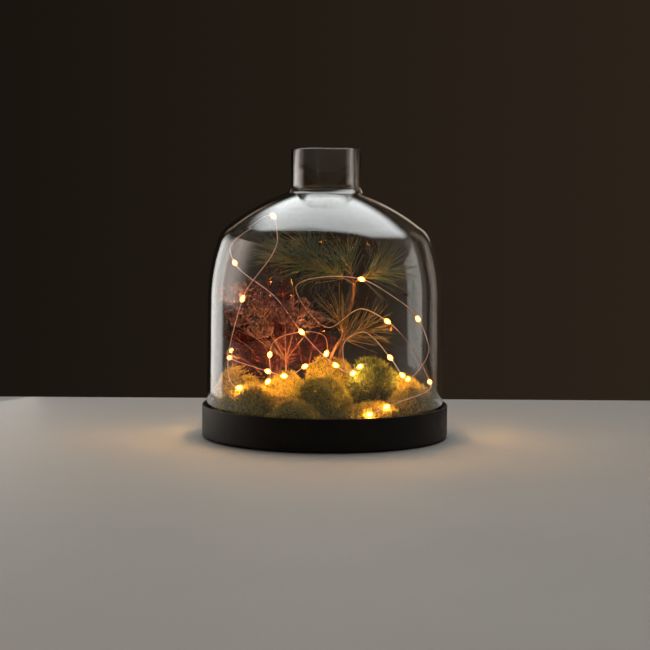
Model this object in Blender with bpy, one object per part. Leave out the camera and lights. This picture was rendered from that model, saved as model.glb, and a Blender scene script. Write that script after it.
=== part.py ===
"""A glass cloche light: a blown glass bell on a black metal tray, filled with moss, dried plants and a string of
small warm lights that runs from a battery box at the back of the tray. Units are metres, +Z is up, the front
of the light faces -Y, and the origin is on the surface that the light stands on, under the bell's axis."""

import math
import random

import bmesh
import bpy
import numpy as np
from mathutils import Matrix, Vector, noise

MM = 0.001
SEED = 11
GAP = 0.3 * MM                  # between pieces that rest on or fit into each other

# Bell, as the arcs that its wall is blown along, from the foot up to the neck
BELL_FOOT_RADIUS = 115.8 * MM
BELL_WALL = 3.5 * MM
BELL_TAPER = 0.5                # degrees inward over the straight wall
BELL_STRAIGHT_TOP = 135 * MM    # above the table
BELL_ARCS = ((18.7, 182 * MM), (50.6, 30.7 * MM), (69.5, 195 * MM))   # slope at the end, radius
NECK_FILLET = 9.1 * MM
BELL_TOP = 281 * MM
BELL_SEGMENTS = 40
BELL_STEPS = (4, 5, 4, 3)       # of each arc, and of the fillet under the neck
BELL_PLAY = 2.7 * MM            # between the bell's foot and the tray's wall

# Tray and the felt under it
TRAY_WALL = 1.5 * MM
TRAY_FLOOR = 1.5 * MM
TRAY_RADIUS = BELL_FOOT_RADIUS + BELL_PLAY + TRAY_WALL
TRAY_TOP = 32.2 * MM            # above the table
TRAY_CORNER = 2.5 * MM          # round where wall and floor meet, outside
TRAY_SEGMENTS = 64
FELT_RADIUS = TRAY_RADIUS - 8 * MM
FELT_THICK = 1.0 * MM

# Metres to one unit of the lists of mounds, wire and plants, which are millimetres where the foot radius is 115.8
PLACE = BELL_FOOT_RADIUS / 115.8

# Moss
BED_RADIUS = BELL_FOOT_RADIUS - BELL_WALL - 1.8 * MM
BED_HEIGHT = 19 * MM
BED_STEPS = 44
MOSS_REACH = BED_RADIUS - 0.7 * MM   # how far the mounds swell towards the glass
MOUND_GAP = 0.8 * MM
MOUND_SIDES = 16
MOUND_SLOPES = (0, 16, 33, 50, 66, 80)   # degrees above the bed of each ring of points
LUMP_SIZE = 15 * MM
LUMP_DEPTH = 0.10               # of the mound's radius
PRESSED_BY_WIRE = 3.2 * MM      # how far the moss gives way round the wire and the lamps

# Name, centre x, y, half width, height of its top above the table
MOUNDS = (
    ("back_left", -77, 20, 35, 68),
    ("back_centre", 6, 16, 31, 75),
    ("back_right", 74, 12, 30, 57),
    ("far_right", 87, 62, 22, 50),
    ("middle_left", -38, -10, 32, 60),
    ("front_left", -68, -57, 36, 54),
    ("front_low", -27, -84, 27, 44),
    ("front_centre", -4, -60, 34, 62),
    ("right_ball", 47, -24, 28, 76),
    ("front_right", 43, -76, 28, 41),
    ("right_low", 82, -42, 27, 52),
)

# Light wire and its lamps, in order from the grommet on. True marks a lamp.
WIRE = 1.2 * MM                 # two strands twisted together
ROUTE = (
    (-88, 52, 34, False), (-94.8, 38, 80, True), (-93.2, -6, 77, True),
    (-54.4, -34, 67, True), (-38.8, -42, 63.5, True), (-19.6, -6, 69, True), (1.2, -8, 82, True),
    (0.9, -14, 97, False), (-50.6, -30, 92.9, False), (-52.7, -38, 83.4, True), (-53.5, -60, 60, True),
    (-79.6, -68, 55, True), (-78.5, -40, 137, True), (-46, -30, 196, False),
    (-50.2, -24, 215, True), (-73, -8, 205, False), (-93.5, 4, 184.5, False), (-87.7, -14, 170, True),
    (-45, -40, 136, False), (-22.5, -38, 105.5, True), (10.3, -46, 74.5, True), (21, -53, 69, False),
    (33.1, -50, 73.8, True), (40, -43, 80, False), (36, -37, 77, False), (27, -38, 66, True),
    (19, -16, 94, False), (35.9, -6, 103, False), (63.2, -14, 79, True), (74.2, -34, 64, True),
    (80, -22, 59, True), (101, -6, 84, False), (91.4, 10, 115, True), (64.5, -14, 139, False),
    (34.6, -24, 155.5, True), (-28.7, -8, 146, False), (3, -14, 108, False), (35.6, -24, 127, False),
    (59.8, -24, 115, True), (102, -12, 55, True), (98, -44, 51, False), (57.5, -86, 40, True), (41, -98, 34, True),
)
WIRE_POINTS_PER_SPAN = 2
LAMP_LENGTH = 6 * MM
LAMP_RADIUS = 2.1 * MM
LAMP_END_RADIUS = 1.4 * MM
LAMP_BORE = 1.05 * MM           # radius, of a six-sided bore round the wire
LAMP_SIDES = 6

# Battery box: two AA cells side by side, a switch bay at its left end and a cover that slides to the right
CELL_RADIUS = 7.25 * MM
CELL_LENGTH = 50.5 * MM         # with its button
BUTTON_RADIUS = 2.75 * MM
BUTTON_HEIGHT = 1.0 * MM
CELL_PITCH = 15.2 * MM
BOX_WALL = 1.6 * MM
BOX_LEFT = -68 * MM
BOX_FROM_MOSS = 4.95 * MM       # in front of the box
BOX_FROM_EDGE = 1.05 * MM       # of the moss's circle, behind the box's left corner
BOX_SIDE_ROOM = 1.1 * MM        # between a cell and the side wall
BAY_LENGTH = 8.4 * MM
BULKHEAD = 1.4 * MM
SPRING_ROOM = 5.4 * MM
PLATE_THICK = 0.5 * MM
PLATE_SIDE = 9 * MM
COVER_RIM = 1.0 * MM            # thickness of the cover's edge, in the grooves
COVER_GROOVE = 0.8 * MM         # depth of the grooves in the side walls
COVER_LIP = 0.9 * MM            # plastic left above the grooves
COVER_TRAVEL = 56 * MM
COVER_CLEARANCE = 2 * MM        # past the end of its travel
COVER_RIBS = 5
SPRING_WIRE = 0.6 * MM
SPRING_TURNS = 3.5
SPRING_RADII = (4.2 * MM, 3.0 * MM)
BOARD_THICK = 1.0 * MM
SLIDER_TRAVEL = 3 * MM
SLIDER_LENGTH = 3 * MM
SLIDER_WIDTH = 2.6 * MM
SLIDER_HEIGHT = 1.6 * MM        # above the box
SLIDER_PLATE = 1.2 * MM         # thickness of its foot, under the roof
GLAND_RADIUS = 3.4 * MM
GLAND_NECK = 2.0 * MM
GLAND_FLANGE = 1.4 * MM
GLAND_NOSE = 0.8 * MM
GLAND_HEIGHT = 12 * MM          # above the table
GLAND_FORWARD = 8.5 * MM        # of the box's centre line

# Plants
NEEDLE_LENGTH = 37 * MM
NEEDLE_WIDTH = 0.9 * MM
LEAFLET_LENGTH = 21 * MM
LEAFLET_THICK = 0.7 * MM
STALK_RADIUS = 0.8 * MM
SOCKET_ROOM = 0.8 * MM          # round a stem where it is pushed into the moss
SOCKET_LENGTH = 60 * MM
FLOWER_STEM = 1.7 * MM          # radius, as are the next two, at the foot
PINE_STEM = 2.0 * MM
FERN_STEM = 1.3 * MM

# Heights and places that follow from the sizes above
TRAY_UNDER = FELT_THICK + GAP
FLOOR_TOP = TRAY_UNDER + TRAY_FLOOR
ON_FLOOR = FLOOR_TOP + GAP
BED_TOP = ON_FLOOR + BED_HEIGHT
BAY_LEFT = BOX_LEFT + BOX_WALL
BAY_RIGHT = BAY_LEFT + BAY_LENGTH
CELLS_LEFT = BAY_RIGHT + BULKHEAD
CELLS_RIGHT = CELLS_LEFT + PLATE_THICK + 2 * GAP + CELL_LENGTH + SPRING_ROOM
BOX_RIGHT = CELLS_RIGHT + BOX_WALL
INNER_HALF = CELL_PITCH / 2 + CELL_RADIUS + BOX_SIDE_ROOM
BOX_HALF = INNER_HALF + BOX_WALL
BOX_CENTRE_Y = math.sqrt(BED_RADIUS**2 - BOX_LEFT**2) - BOX_FROM_EDGE - BOX_HALF
TRENCH_FRONT = BOX_CENTRE_Y - BOX_HALF - BOX_FROM_MOSS      # the moss stops here, in front of the battery box
TRENCH_RIGHT = BOX_RIGHT + COVER_TRAVEL + COVER_CLEARANCE   # and starts again here
GLAND_Y = BOX_CENTRE_Y - GLAND_FORWARD
GLAND_TIP = BOX_LEFT - GAP - GLAND_FLANGE - GLAND_NOSE
WIRE_START = Vector((GLAND_TIP - 0.5 * MM, GLAND_Y, GLAND_HEIGHT))
BOX_FLOOR_TOP = ON_FLOOR + BOX_WALL
CELL_Z = BOX_FLOOR_TOP + GAP + CELL_RADIUS
GROOVE_BOTTOM = CELL_Z + CELL_RADIUS + GAP
GROOVE_TOP = GROOVE_BOTTOM + COVER_RIM + 2 * GAP
BOX_TOP = GROOVE_TOP + COVER_LIP


def placed(point):
    """A place from one of the lists, in metres, in a bell of this size."""
    return Vector(point) * PLACE


def clear_scene():
    for obj in list(bpy.data.objects):
        bpy.data.objects.remove(obj)


def material(name, colour, roughness, metallic=0.0, transmission=0.0):
    made = bpy.data.materials.new(name)
    made.use_nodes = True
    shader = made.node_tree.nodes["Principled BSDF"]
    shader.inputs["Base Color"].default_value = (*colour, 1)
    shader.inputs["Roughness"].default_value = roughness
    shader.inputs["Metallic"].default_value = metallic
    shader.inputs["Transmission Weight"].default_value = transmission
    return made


def empty(name, place, parent=None):
    made = bpy.data.objects.new(name, None)
    bpy.context.scene.collection.objects.link(made)
    made.location = place - (parent.location if parent else Vector())
    made.parent = parent
    return made


def put(name, bm, look, parent, sharp=35):
    """Makes a bmesh in world places an object under its parent empty, with its origin on that empty."""
    bmesh.ops.recalc_face_normals(bm, faces=bm.faces)
    mesh = bpy.data.meshes.new(name)
    bm.to_mesh(mesh)
    bm.free()
    bpy.context.view_layer.update()
    mesh.transform(Matrix.Translation(-parent.matrix_world.translation))
    mesh.shade_smooth()
    mesh.set_sharp_from_angle(angle=math.radians(sharp))
    obj = bpy.data.objects.new(name, mesh)
    bpy.context.scene.collection.objects.link(obj)
    obj.parent = parent
    if look:
        mesh.materials.append(look)
    return obj


def cutter(name, bm, parent):
    obj = put(name, bm, None, parent)
    obj.hide_render = True
    obj.display_type = "WIRE"
    return obj


def cut(obj, tool, operation="DIFFERENCE"):
    boolean = obj.modifiers.new(tool.name, "BOOLEAN")
    boolean.operation = operation
    boolean.object = tool


def bridge(bm, first, second):
    count = len(first)
    for i in range(count):
        j = (i + 1) % count
        bm.faces.new((first[i], first[j], second[j], second[i]))


def loft(rings, closed=False):
    """A solid through rings of points with as many points each. Closed joins the last ring to the first."""
    bm = bmesh.new()
    made = [[bm.verts.new(p) for p in ring] for ring in rings]
    for first, second in zip(made, made[1:]):
        bridge(bm, first, second)
    if closed:
        bridge(bm, made[-1], made[0])
    else:
        bm.faces.new(made[0])
        bm.faces.new(made[-1])
    return bm


def turned(profile, segments, turn=Matrix.Identity(4), closed=True):
    """A solid turned about Z from (radius, height) points, then moved by a matrix."""
    rings = [
        [
            turn @ Vector((r * math.cos(a), r * math.sin(a), z))
            for a in (math.tau * k / segments for k in range(segments))
        ]
        for r, z in profile
    ]
    return loft(rings, closed)


def block(low, high, bevel=0.0, upright_only=False):
    """A box from corner to corner, with its edges rounded off, or only the upright ones."""
    bm = bmesh.new()
    bmesh.ops.create_cube(bm, size=1)
    low, high = Vector(low), Vector(high)
    for v in bm.verts:
        v.co = Vector([lo + (c + 0.5) * (hi - lo) for c, lo, hi in zip(v.co, low, high)])
    if bevel:
        edges = [e for e in bm.edges if not upright_only or abs((e.verts[0].co - e.verts[1].co).z) > bevel]
        bmesh.ops.bevel(bm, geom=edges, offset=bevel, segments=2, profile=0.5, affect="EDGES")
    return bm


def prism(outline, x_from, x_to):
    """An outline of (y, z) points drawn out along X."""
    return loft([[Vector((x, y, z)) for y, z in outline] for x in (x_from, x_to)])


def arc(centre, radius, start, end, steps):
    """(r, z) points round a centre, angles in degrees."""
    angles = [math.radians(start + (end - start) * k / steps) for k in range(steps + 1)]
    return [(centre[0] + radius * math.cos(a), centre[1] + radius * math.sin(a)) for a in angles]


def smooth(points, per_span):
    """Points read off one smooth curve through the given ones, which are every per_span-th of them."""
    points = [Vector(p) for p in points]
    steps = [max((b - a).length, 1e-9) for a, b in zip(points, points[1:])]
    slopes = [(points[1] - points[0]) / steps[0]]
    for i in range(1, len(points) - 1):
        before = (points[i] - points[i - 1]) / steps[i - 1]
        after = (points[i + 1] - points[i]) / steps[i]
        slopes.append((before * steps[i] + after * steps[i - 1]) / (steps[i] + steps[i - 1]))
    slopes.append((points[-1] - points[-2]) / steps[-1])
    found = []
    for i, step in enumerate(steps):
        for k in range(per_span):
            t = k / per_span
            found.append(
                points[i] * (2 * t**3 - 3 * t**2 + 1)
                + slopes[i] * step * (t**3 - 2 * t**2 + t)
                + points[i + 1] * (3 * t**2 - 2 * t**3)
                + slopes[i + 1] * step * (t**3 - t**2)
            )
    return found + [points[-1]]


def tube(name, points, radius, resolution, look, parent):
    """A wire as a curve with a round bevel and filled ends."""
    curve = bpy.data.curves.new(name, "CURVE")
    curve.dimensions = "3D"
    curve.bevel_depth = radius
    curve.bevel_resolution = resolution
    curve.use_fill_caps = True
    spline = curve.splines.new("POLY")
    spline.points.add(len(points) - 1)
    for target, point in zip(spline.points, points):
        target.co = (*(point - parent.location), 1)
    curve.materials.append(look)
    obj = bpy.data.objects.new(name, curve)
    bpy.context.scene.collection.objects.link(obj)
    obj.parent = parent
    return obj


def least_gap(points, diameter, apart):
    """The least distance between stretches of a wire that lie more than apart from each other along it."""
    fine = np.array([a.lerp(b, k / 8) for a, b in zip(points, points[1:]) for k in range(8)])
    along = np.concatenate(([0], np.cumsum(np.linalg.norm(np.diff(fine, axis=0), axis=1))))
    between = np.linalg.norm(fine[:, None] - fine[None], axis=2)
    between[np.abs(along[:, None] - along[None]) < apart] = np.inf
    return between.min() - diameter


class Room:
    """The space that thin pieces already take, as balls along them, so that the next one grows clear of them."""

    STEP = 1.5 * MM

    def __init__(self):
        self.centres = np.empty((0, 3))
        self.radii = np.empty(0)
        self.owners = np.empty(0, int)
        self.roots = np.empty(0, bool)

    def balls(self, points):
        found = []
        for a, b in zip(points, points[1:]):
            count = max(1, math.ceil((b - a).length / self.STEP))
            found += [a.lerp(b, k / count) for k in range(count)]
        return np.array(found + [points[-1]])

    def take(self, points, radius, owner, root_share=0.0):
        centres = self.balls(points)
        roots = np.arange(len(centres)) < root_share * len(centres)
        self.centres = np.concatenate((self.centres, centres))
        self.radii = np.concatenate((self.radii, np.full(len(centres), radius)))
        self.owners = np.concatenate((self.owners, np.full(len(centres), owner)))
        self.roots = np.concatenate((self.roots, roots))

    def free(self, points, radius, owner, root_share=0.0):
        """Whether a thin piece keeps clear of the others. Pieces on one stem may be close at their roots."""
        centres = self.balls(points)
        reach = np.linalg.norm(centres[:, None] - self.centres[None], axis=2) - self.radii - radius
        mine = self.owners == owner
        own_roots = np.arange(len(centres)) < root_share * len(centres)
        reach[:, mine & self.roots] = np.inf
        reach[np.ix_(own_roots, mine)] = np.inf
        return reach.min() > self.STEP * 0.75


def bell_profile():
    """Outer (radius, height) points of the bell, from its foot to the top of its neck."""
    foot = ON_FLOOR
    lean = math.radians(BELL_TAPER)
    r = BELL_FOOT_RADIUS - (BELL_STRAIGHT_TOP - foot) * math.tan(lean)
    z = BELL_STRAIGHT_TOP
    points = [(BELL_FOOT_RADIUS, foot), (r, z)]
    for (slope, radius), count in zip(BELL_ARCS, BELL_STEPS):
        end = math.radians(slope)
        for k in range(1, count + 1):
            a = lean + (end - lean) * k / count
            inward = radius * (math.cos(lean) - math.cos(a))
            points.append((r - inward, z + radius * (math.sin(a) - math.sin(lean))))
        (r, z), lean = points[-1], end
    for k in range(1, BELL_STEPS[3] + 1):
        a = lean * (1 - k / BELL_STEPS[3])
        inward = NECK_FILLET * (math.cos(a) - math.cos(lean))
        points.append((r - inward, z + NECK_FILLET * (math.sin(lean) - math.sin(a))))
    return points + [(points[-1][0], BELL_TOP)]


def offset_inwards(points, distance):
    """The profile's points moved square to it, towards the axis."""
    found = []
    for i, (r, z) in enumerate(points):
        a = points[max(i - 1, 0)]
        b = points[min(i + 1, len(points) - 1)]
        length = math.hypot(b[0] - a[0], b[1] - a[1])
        found.append((r - distance * (b[1] - a[1]) / length, z + distance * (b[0] - a[0]) / length))
    return found


def inside_bell(point, room):
    """Whether a point stays this far inside the bell's inner wall."""
    inner = offset_inwards(bell_profile(), BELL_WALL + room)
    radius = math.hypot(point.x, point.y)
    for (r0, z0), (r1, z1) in zip(inner, inner[1:]):
        if z0 <= point.z <= z1:
            return radius < r0 + (r1 - r0) * (point.z - z0) / (z1 - z0)
    return point.z < BELL_TOP


def make_felt(look, parent):
    bm = turned(((FELT_RADIUS, FELT_THICK), (FELT_RADIUS, 0)), TRAY_SEGMENTS, closed=False)
    return put("felt_base", bm, look, parent)


def make_tray(look, parent):
    """A dish of sheet metal: flat floor, a rounded corner and an upright wall with a rounded rim."""
    inner_corner = TRAY_CORNER - TRAY_WALL
    outer = arc((TRAY_RADIUS - TRAY_CORNER, TRAY_UNDER + TRAY_CORNER), TRAY_CORNER, -90, 0, 3)
    rim = arc((TRAY_RADIUS - TRAY_WALL / 2, TRAY_TOP - TRAY_WALL / 2), TRAY_WALL / 2, 0, 180, 4)
    inner = arc((TRAY_RADIUS - TRAY_CORNER, FLOOR_TOP + inner_corner), inner_corner, 0, -90, 2)
    return put("base_tray", turned(outer + rim + inner, TRAY_SEGMENTS, closed=False), look, parent)


def make_bell(look, parent):
    outer = bell_profile()
    inner = offset_inwards(outer, BELL_WALL)
    middle = outer[-1][0] - BELL_WALL / 2
    rim = arc((middle, BELL_TOP - BELL_WALL / 2), BELL_WALL / 2, 30, 150, 3)
    wall = outer[:-1] + [(outer[-1][0], BELL_TOP - BELL_WALL / 2)] + rim
    wall += [(inner[-1][0], BELL_TOP - BELL_WALL / 2)] + inner[-2::-1]
    return put("glass_cloche", turned(wall, BELL_SEGMENTS), look, parent, sharp=60)


def make_bed(look, parent):
    """The flat layer of moss on the tray's floor, cut away at the back for the battery box."""
    start = math.asin(TRENCH_FRONT / BED_RADIUS)
    end = math.acos(TRENCH_RIGHT / BED_RADIUS)
    sweep = math.pi + start + end
    outline = [(TRENCH_RIGHT, TRENCH_FRONT)]
    for k in range(BED_STEPS + 1):
        a = math.pi - start + sweep * k / BED_STEPS
        outline.append((BED_RADIUS * math.cos(a), BED_RADIUS * math.sin(a)))
    bm = loft([[Vector((x, y, z)) for x, y in outline] for z in (ON_FLOOR, BED_TOP)])
    return put("moss_bed", bm, look, parent)


def mound_limits(index):
    """Upright planes (normal, distance) that keep one mound of moss off its neighbours and off the trench."""
    _, x, y, half, _ = MOUNDS[index]
    here = placed((x, y))
    planes = []
    for other, (_, ox, oy, other_half, _) in enumerate(MOUNDS):
        if other != index:
            away = placed((ox, oy)) - here
            share = half / (half + other_half)
            planes.append((away.normalized(), away.length * share - MOUND_GAP / 2))
    if here.y < TRENCH_FRONT:
        planes.append((Vector((0, 1)), TRENCH_FRONT - here.y - MOUND_GAP))
    else:
        planes.append((Vector((-1, 0)), here.x - TRENCH_RIGHT - MOUND_GAP))
    return here, planes


def mound_reach(here, planes, heading, wanted):
    """How far a mound swells in one direction before it meets a limit."""
    flat = Vector(heading[:2])
    for normal, distance in planes:
        towards = flat.dot(normal)
        if towards > 1e-6:
            wanted = min(wanted, distance / towards)
    a = flat.length_squared
    if a > 1e-9:
        b = here.dot(flat)
        wanted = min(wanted, (math.sqrt(b * b - a * (here.length_squared - MOSS_REACH**2)) - b) / a)
    return wanted


def make_mound(index, room, look, parent):
    """A cushion of moss: a lumpy dome, pressed flat against its neighbours and grooved by the wire."""
    name, _, _, half, top = MOUNDS[index]
    here, planes = mound_limits(index)
    foot = BED_TOP + GAP
    centre = Vector((*here, foot))
    half_width = half * PLACE
    height = top * PLACE - foot
    pressed = PRESSED_BY_WIRE + room.radii[None]

    def surface(heading):
        spread = Vector((heading.x / half_width, heading.y / half_width, heading.z / height))
        lump = noise.noise((centre + heading * half_width) / LUMP_SIZE + Vector((index, 0, 0)))
        reach = mound_reach(here, planes, heading, (1 + LUMP_DEPTH * lump) / spread.length)
        tries = [centre + heading * reach * (1 - k / 40) for k in range(24)]
        away = np.linalg.norm(np.array(tries)[:, None] - room.centres[None], axis=2)
        clear = (away > pressed).all(axis=1)
        return tries[int(np.argmax(clear))] if clear.any() else tries[-1]

    bm = bmesh.new()
    rings = []
    for slope in MOUND_SLOPES:
        up = math.radians(slope)
        turns = [math.tau * k / MOUND_SIDES for k in range(MOUND_SIDES)]
        headings = [Vector((math.cos(a) * math.cos(up), math.sin(a) * math.cos(up), math.sin(up))) for a in turns]
        rings.append([bm.verts.new(surface(h)) for h in headings])
    bm.faces.new(rings[0])
    for first, second in zip(rings, rings[1:]):
        bridge(bm, first, second)
    tip = bm.verts.new(surface(Vector((0, 0, 1))))
    for a, b in zip(rings[-1], rings[-1][1:] + rings[-1][:1]):
        bm.faces.new((a, b, tip))
    return put("moss_" + name, bm, look, parent, sharp=180)


def turn_to(direction):
    return Vector((0, 0, 1)).rotation_difference(direction).to_matrix()


def ring_at(point, direction, radius, sides):
    turn = turn_to(direction)
    angles = [math.tau * k / sides for k in range(sides)]
    return [point + turn @ Vector((radius * math.cos(a), radius * math.sin(a), 0)) for a in angles]


def make_lamp(number, before, here, after, look, parent):
    """A drop of clear resin round the wire: thick in the middle, thin at its ends, open where the wire passes."""
    back = (before - here).normalized()
    ahead = (after - here).normalized()
    along = (ahead - back).normalized()
    ends = [here + back * LAMP_LENGTH / 2, here + ahead * LAMP_LENGTH / 2]
    waist = [here + back * LAMP_LENGTH / 5, here + ahead * LAMP_LENGTH / 5]
    rings = [
        ring_at(ends[0], along, LAMP_BORE, LAMP_SIDES),
        ring_at(ends[0], along, LAMP_END_RADIUS, LAMP_SIDES),
        ring_at(waist[0], along, LAMP_RADIUS, LAMP_SIDES),
        ring_at(waist[1], along, LAMP_RADIUS, LAMP_SIDES),
        ring_at(ends[1], along, LAMP_END_RADIUS, LAMP_SIDES),
        ring_at(ends[1], along, LAMP_BORE, LAMP_SIDES),
        ring_at(here, along, LAMP_BORE, LAMP_SIDES),
    ]
    return put(f"lamp_{number:02d}", loft(rings, closed=True), look, parent, sharp=60)


def make_string(looks, parent, room):
    """The wire through its route's points, and a lamp at each point that is marked as one."""
    route = [WIRE_START, *(placed(p[:3]) for p in ROUTE)]
    points = smooth(route, WIRE_POINTS_PER_SPAN)
    tube("light_wire", points, WIRE / 2, 2, looks["copper"], parent)
    room.take(points, WIRE / 2, 0)
    number = 0
    for i, (*_, lamp) in enumerate(ROUTE, start=1):
        if lamp:
            number += 1
            here = i * WIRE_POINTS_PER_SPAN
            before = points[here - 1]
            after = points[here + 1] if here + 1 < len(points) else 2 * points[here] - before
            make_lamp(number, before, points[here], after, looks["resin"], parent)
            room.take([points[here], points[here] + Vector((0, 0, MM / 10))], LAMP_RADIUS + MM, 0)
    length = sum((b - a).length for a, b in zip(points, points[1:]))
    gap = least_gap(points, WIRE, 20 * MM)
    print(f"light wire {length:.3f} m long, least gap to itself {gap / MM:.2f} mm, {number} lamps")


def drawn(bm, face, place):
    """Extrudes one face and puts each of its corners where place says."""
    made = bmesh.ops.extrude_discrete_faces(bm, faces=[face])["faces"][0]
    for k, v in enumerate(made.verts):
        v.co = place(k)
    sides = [f for e in made.edges for f in e.link_faces if f is not made]
    for f in (made, *sides):
        f.normal_update()
    return made, sides


def grow(bm, face, points, radii):
    """Draws a face out along a path as a stem. Returns its tip and each step's side faces and heading."""
    at = face.calc_center_median()
    heading = face.normal.copy()
    offsets = [v.co - at for v in face.verts]
    rows = []
    for point, radius in zip(points, radii):
        ahead = (point - at).normalized()
        turn = heading.rotation_difference(ahead)
        offsets = [turn @ o for o in offsets]
        face, sides = drawn(bm, face, lambda k: point + offsets[k].normalized() * radius)
        rows.append((sides, ahead))
        at, heading = point, ahead
    return face, rows


def stem(points, radii, sides, side_way=None):
    """Starts a plant: a stem along a path, from a flat foot."""
    ahead = (points[1] - points[0]).normalized()
    across = (side_way or Vector((1, 0, 0))).cross(ahead).normalized()
    other = ahead.cross(across)
    bm = bmesh.new()
    angles = [math.tau * (k + 0.5) / sides for k in range(sides)]
    foot = [points[0] + radii[0] * (across * math.cos(a) + other * math.sin(a)) for a in angles]
    face = bm.faces.new([bm.verts.new(p) for p in foot])
    face.normal_update()
    if face.normal.dot(ahead) < 0:
        face.normal_flip()
    bm.faces.new([bm.verts.new(v.co.copy()) for v in reversed(face.verts)])
    _, rows = grow(bm, face, points[1:], radii[1:])
    bmesh.ops.remove_doubles(bm, verts=bm.verts, dist=1e-6)
    return bm, rows


def spike(bm, face, axis, stations):
    """Draws a side face out into a needle or a leaflet through (point, width along the axis, thickness)."""
    middle = face.calc_center_median()
    side = axis.cross(face.normal).normalized()
    signs = [
        (math.copysign(0.5, (v.co - middle).dot(axis)), math.copysign(0.5, (v.co - middle).dot(side)))
        for v in face.verts
    ]
    for point, width, thick in stations:
        face, _ = drawn(bm, face, lambda k: point + axis * signs[k][0] * width + side * signs[k][1] * thick)


def sow_needles(bm, rows, room, rng, owner, share, length=NEEDLE_LENGTH):
    """Needles from a twig's side faces, each turned until it is clear of all that stands there."""
    made = 0
    for sides, ahead in rows:
        for face in sides:
            if rng.random() > share:
                continue
            root = face.calc_center_median()
            for _ in range(10):
                stray = Vector((rng.uniform(-1, 1), rng.uniform(-1, 1), rng.uniform(-0.7, 1))) * 0.35
                way = (face.normal + ahead * rng.uniform(0.4, 1.3) + stray).normalized()
                if way.dot(face.normal) < 0.25:
                    continue
                reach = length * rng.uniform(0.8, 1.1)
                bend = Vector((0, 0, rng.uniform(-0.06, 0.04))) * reach
                middle = root + way * reach * 0.5
                tip = root + way * reach + bend
                path = [root, middle, tip]
                if room.free(path, NEEDLE_WIDTH / 2, owner, 0.3) and inside_bell(tip, 4 * MM):
                    spike(bm, face, ahead, ((middle, NEEDLE_WIDTH, NEEDLE_WIDTH), (tip, 0.35 * MM, 0.35 * MM)))
                    room.take(path, NEEDLE_WIDTH / 2, owner, 0.3)
                    made += 1
                    break
    return made


def best_side(rows, towards):
    """The side face, of all of a stem's, that looks most towards a point."""
    faces = [f for sides, _ in rows for f in sides if f.is_valid]
    return max(faces, key=lambda f: f.normal.dot((towards - f.calc_center_median()).normalized()))


def make_pine(name, path, twigs, looks, parent, room, owner, share):
    """A pine branch: a bare woody stem, and twigs clad in needles."""
    rng = random.Random(SEED + owner)
    points = smooth([placed(p) for p in path], 3)
    radii = [PINE_STEM * (1 - 0.35 * k / (len(points) - 1)) for k in range(len(points))]
    room.take(points, PINE_STEM, owner, 1.0)
    bm, rows = stem(points, radii, 5)
    clad = []
    for twig in twigs:
        goal = [placed(p) for p in twig]
        face = best_side(rows[-3:], goal[0])
        start = face.calc_center_median()
        steps = max(4, round((goal[-1] - start).length / (4 * MM)))
        line = smooth([start, *goal], max(2, steps // len(goal)))[1:]
        thin = [(1.25 - 0.45 * k / len(line)) * MM for k in range(len(line))]
        _, grown = grow(bm, face, line, thin)
        room.take([start, *line], 1.2 * MM, owner, 1.0)
        clad += grown[1:]
    made = sow_needles(bm, clad, room, rng, owner, share)
    print(f"{name}: {made} needles")
    put(name, bm, looks["pine"], parent, sharp=50)
    return points


def make_fern(name, path, side_way, looks, parent, room, owner):
    """A dried fern frond: a midrib with leaflets on both sides, longest a third of the way up."""
    rng = random.Random(SEED + owner)
    points = smooth([placed(p) for p in path], 7)
    count = len(points)
    radii = [FERN_STEM * (1 - 0.6 * k / count) for k in range(count)]
    room.take(points, FERN_STEM, owner, 1.0)
    bm, rows = stem(points, radii, 4, Vector(side_way))
    first = round(count * 0.30)
    made = 0
    for k in range(first, count - 1):
        sides, ahead = rows[k]
        share = (k - first) / (count - first)
        length = LEAFLET_LENGTH * (1 - share) ** 0.75 * min(1, 0.6 + share * 2.5)
        pair = sorted(sides, key=lambda f: abs(f.normal.dot(Vector(side_way).normalized())))[-2:]
        for face in pair:
            root = face.calc_center_median()
            long = (face.verts[0].co - root).dot(ahead)
            width = abs(long) * 2
            for droop in (-0.05, 0.12, -0.25, 0.3, -0.45):
                way = (face.normal + ahead * 0.55 + Vector((0, 0, droop + rng.uniform(-0.1, 0.1)))).normalized()
                middle = root + way * length * 0.45
                tip_at = root + way * length - Vector((0, 0, length * 0.08))
                if room.free([root, middle, tip_at], width * 0.35, owner, 0.5) and inside_bell(tip_at, 3 * MM):
                    stations = ((middle, width * 0.62, LEAFLET_THICK), (tip_at, 0.7 * MM, 0.4 * MM))
                    spike(bm, face, ahead, stations)
                    room.take([root, middle, tip_at], width * 0.3, owner, 0.5)
                    made += 1
                    break
    print(f"{name}: {made} leaflets")
    put(name, bm, looks["fern"], parent, sharp=50)
    return points


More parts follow.
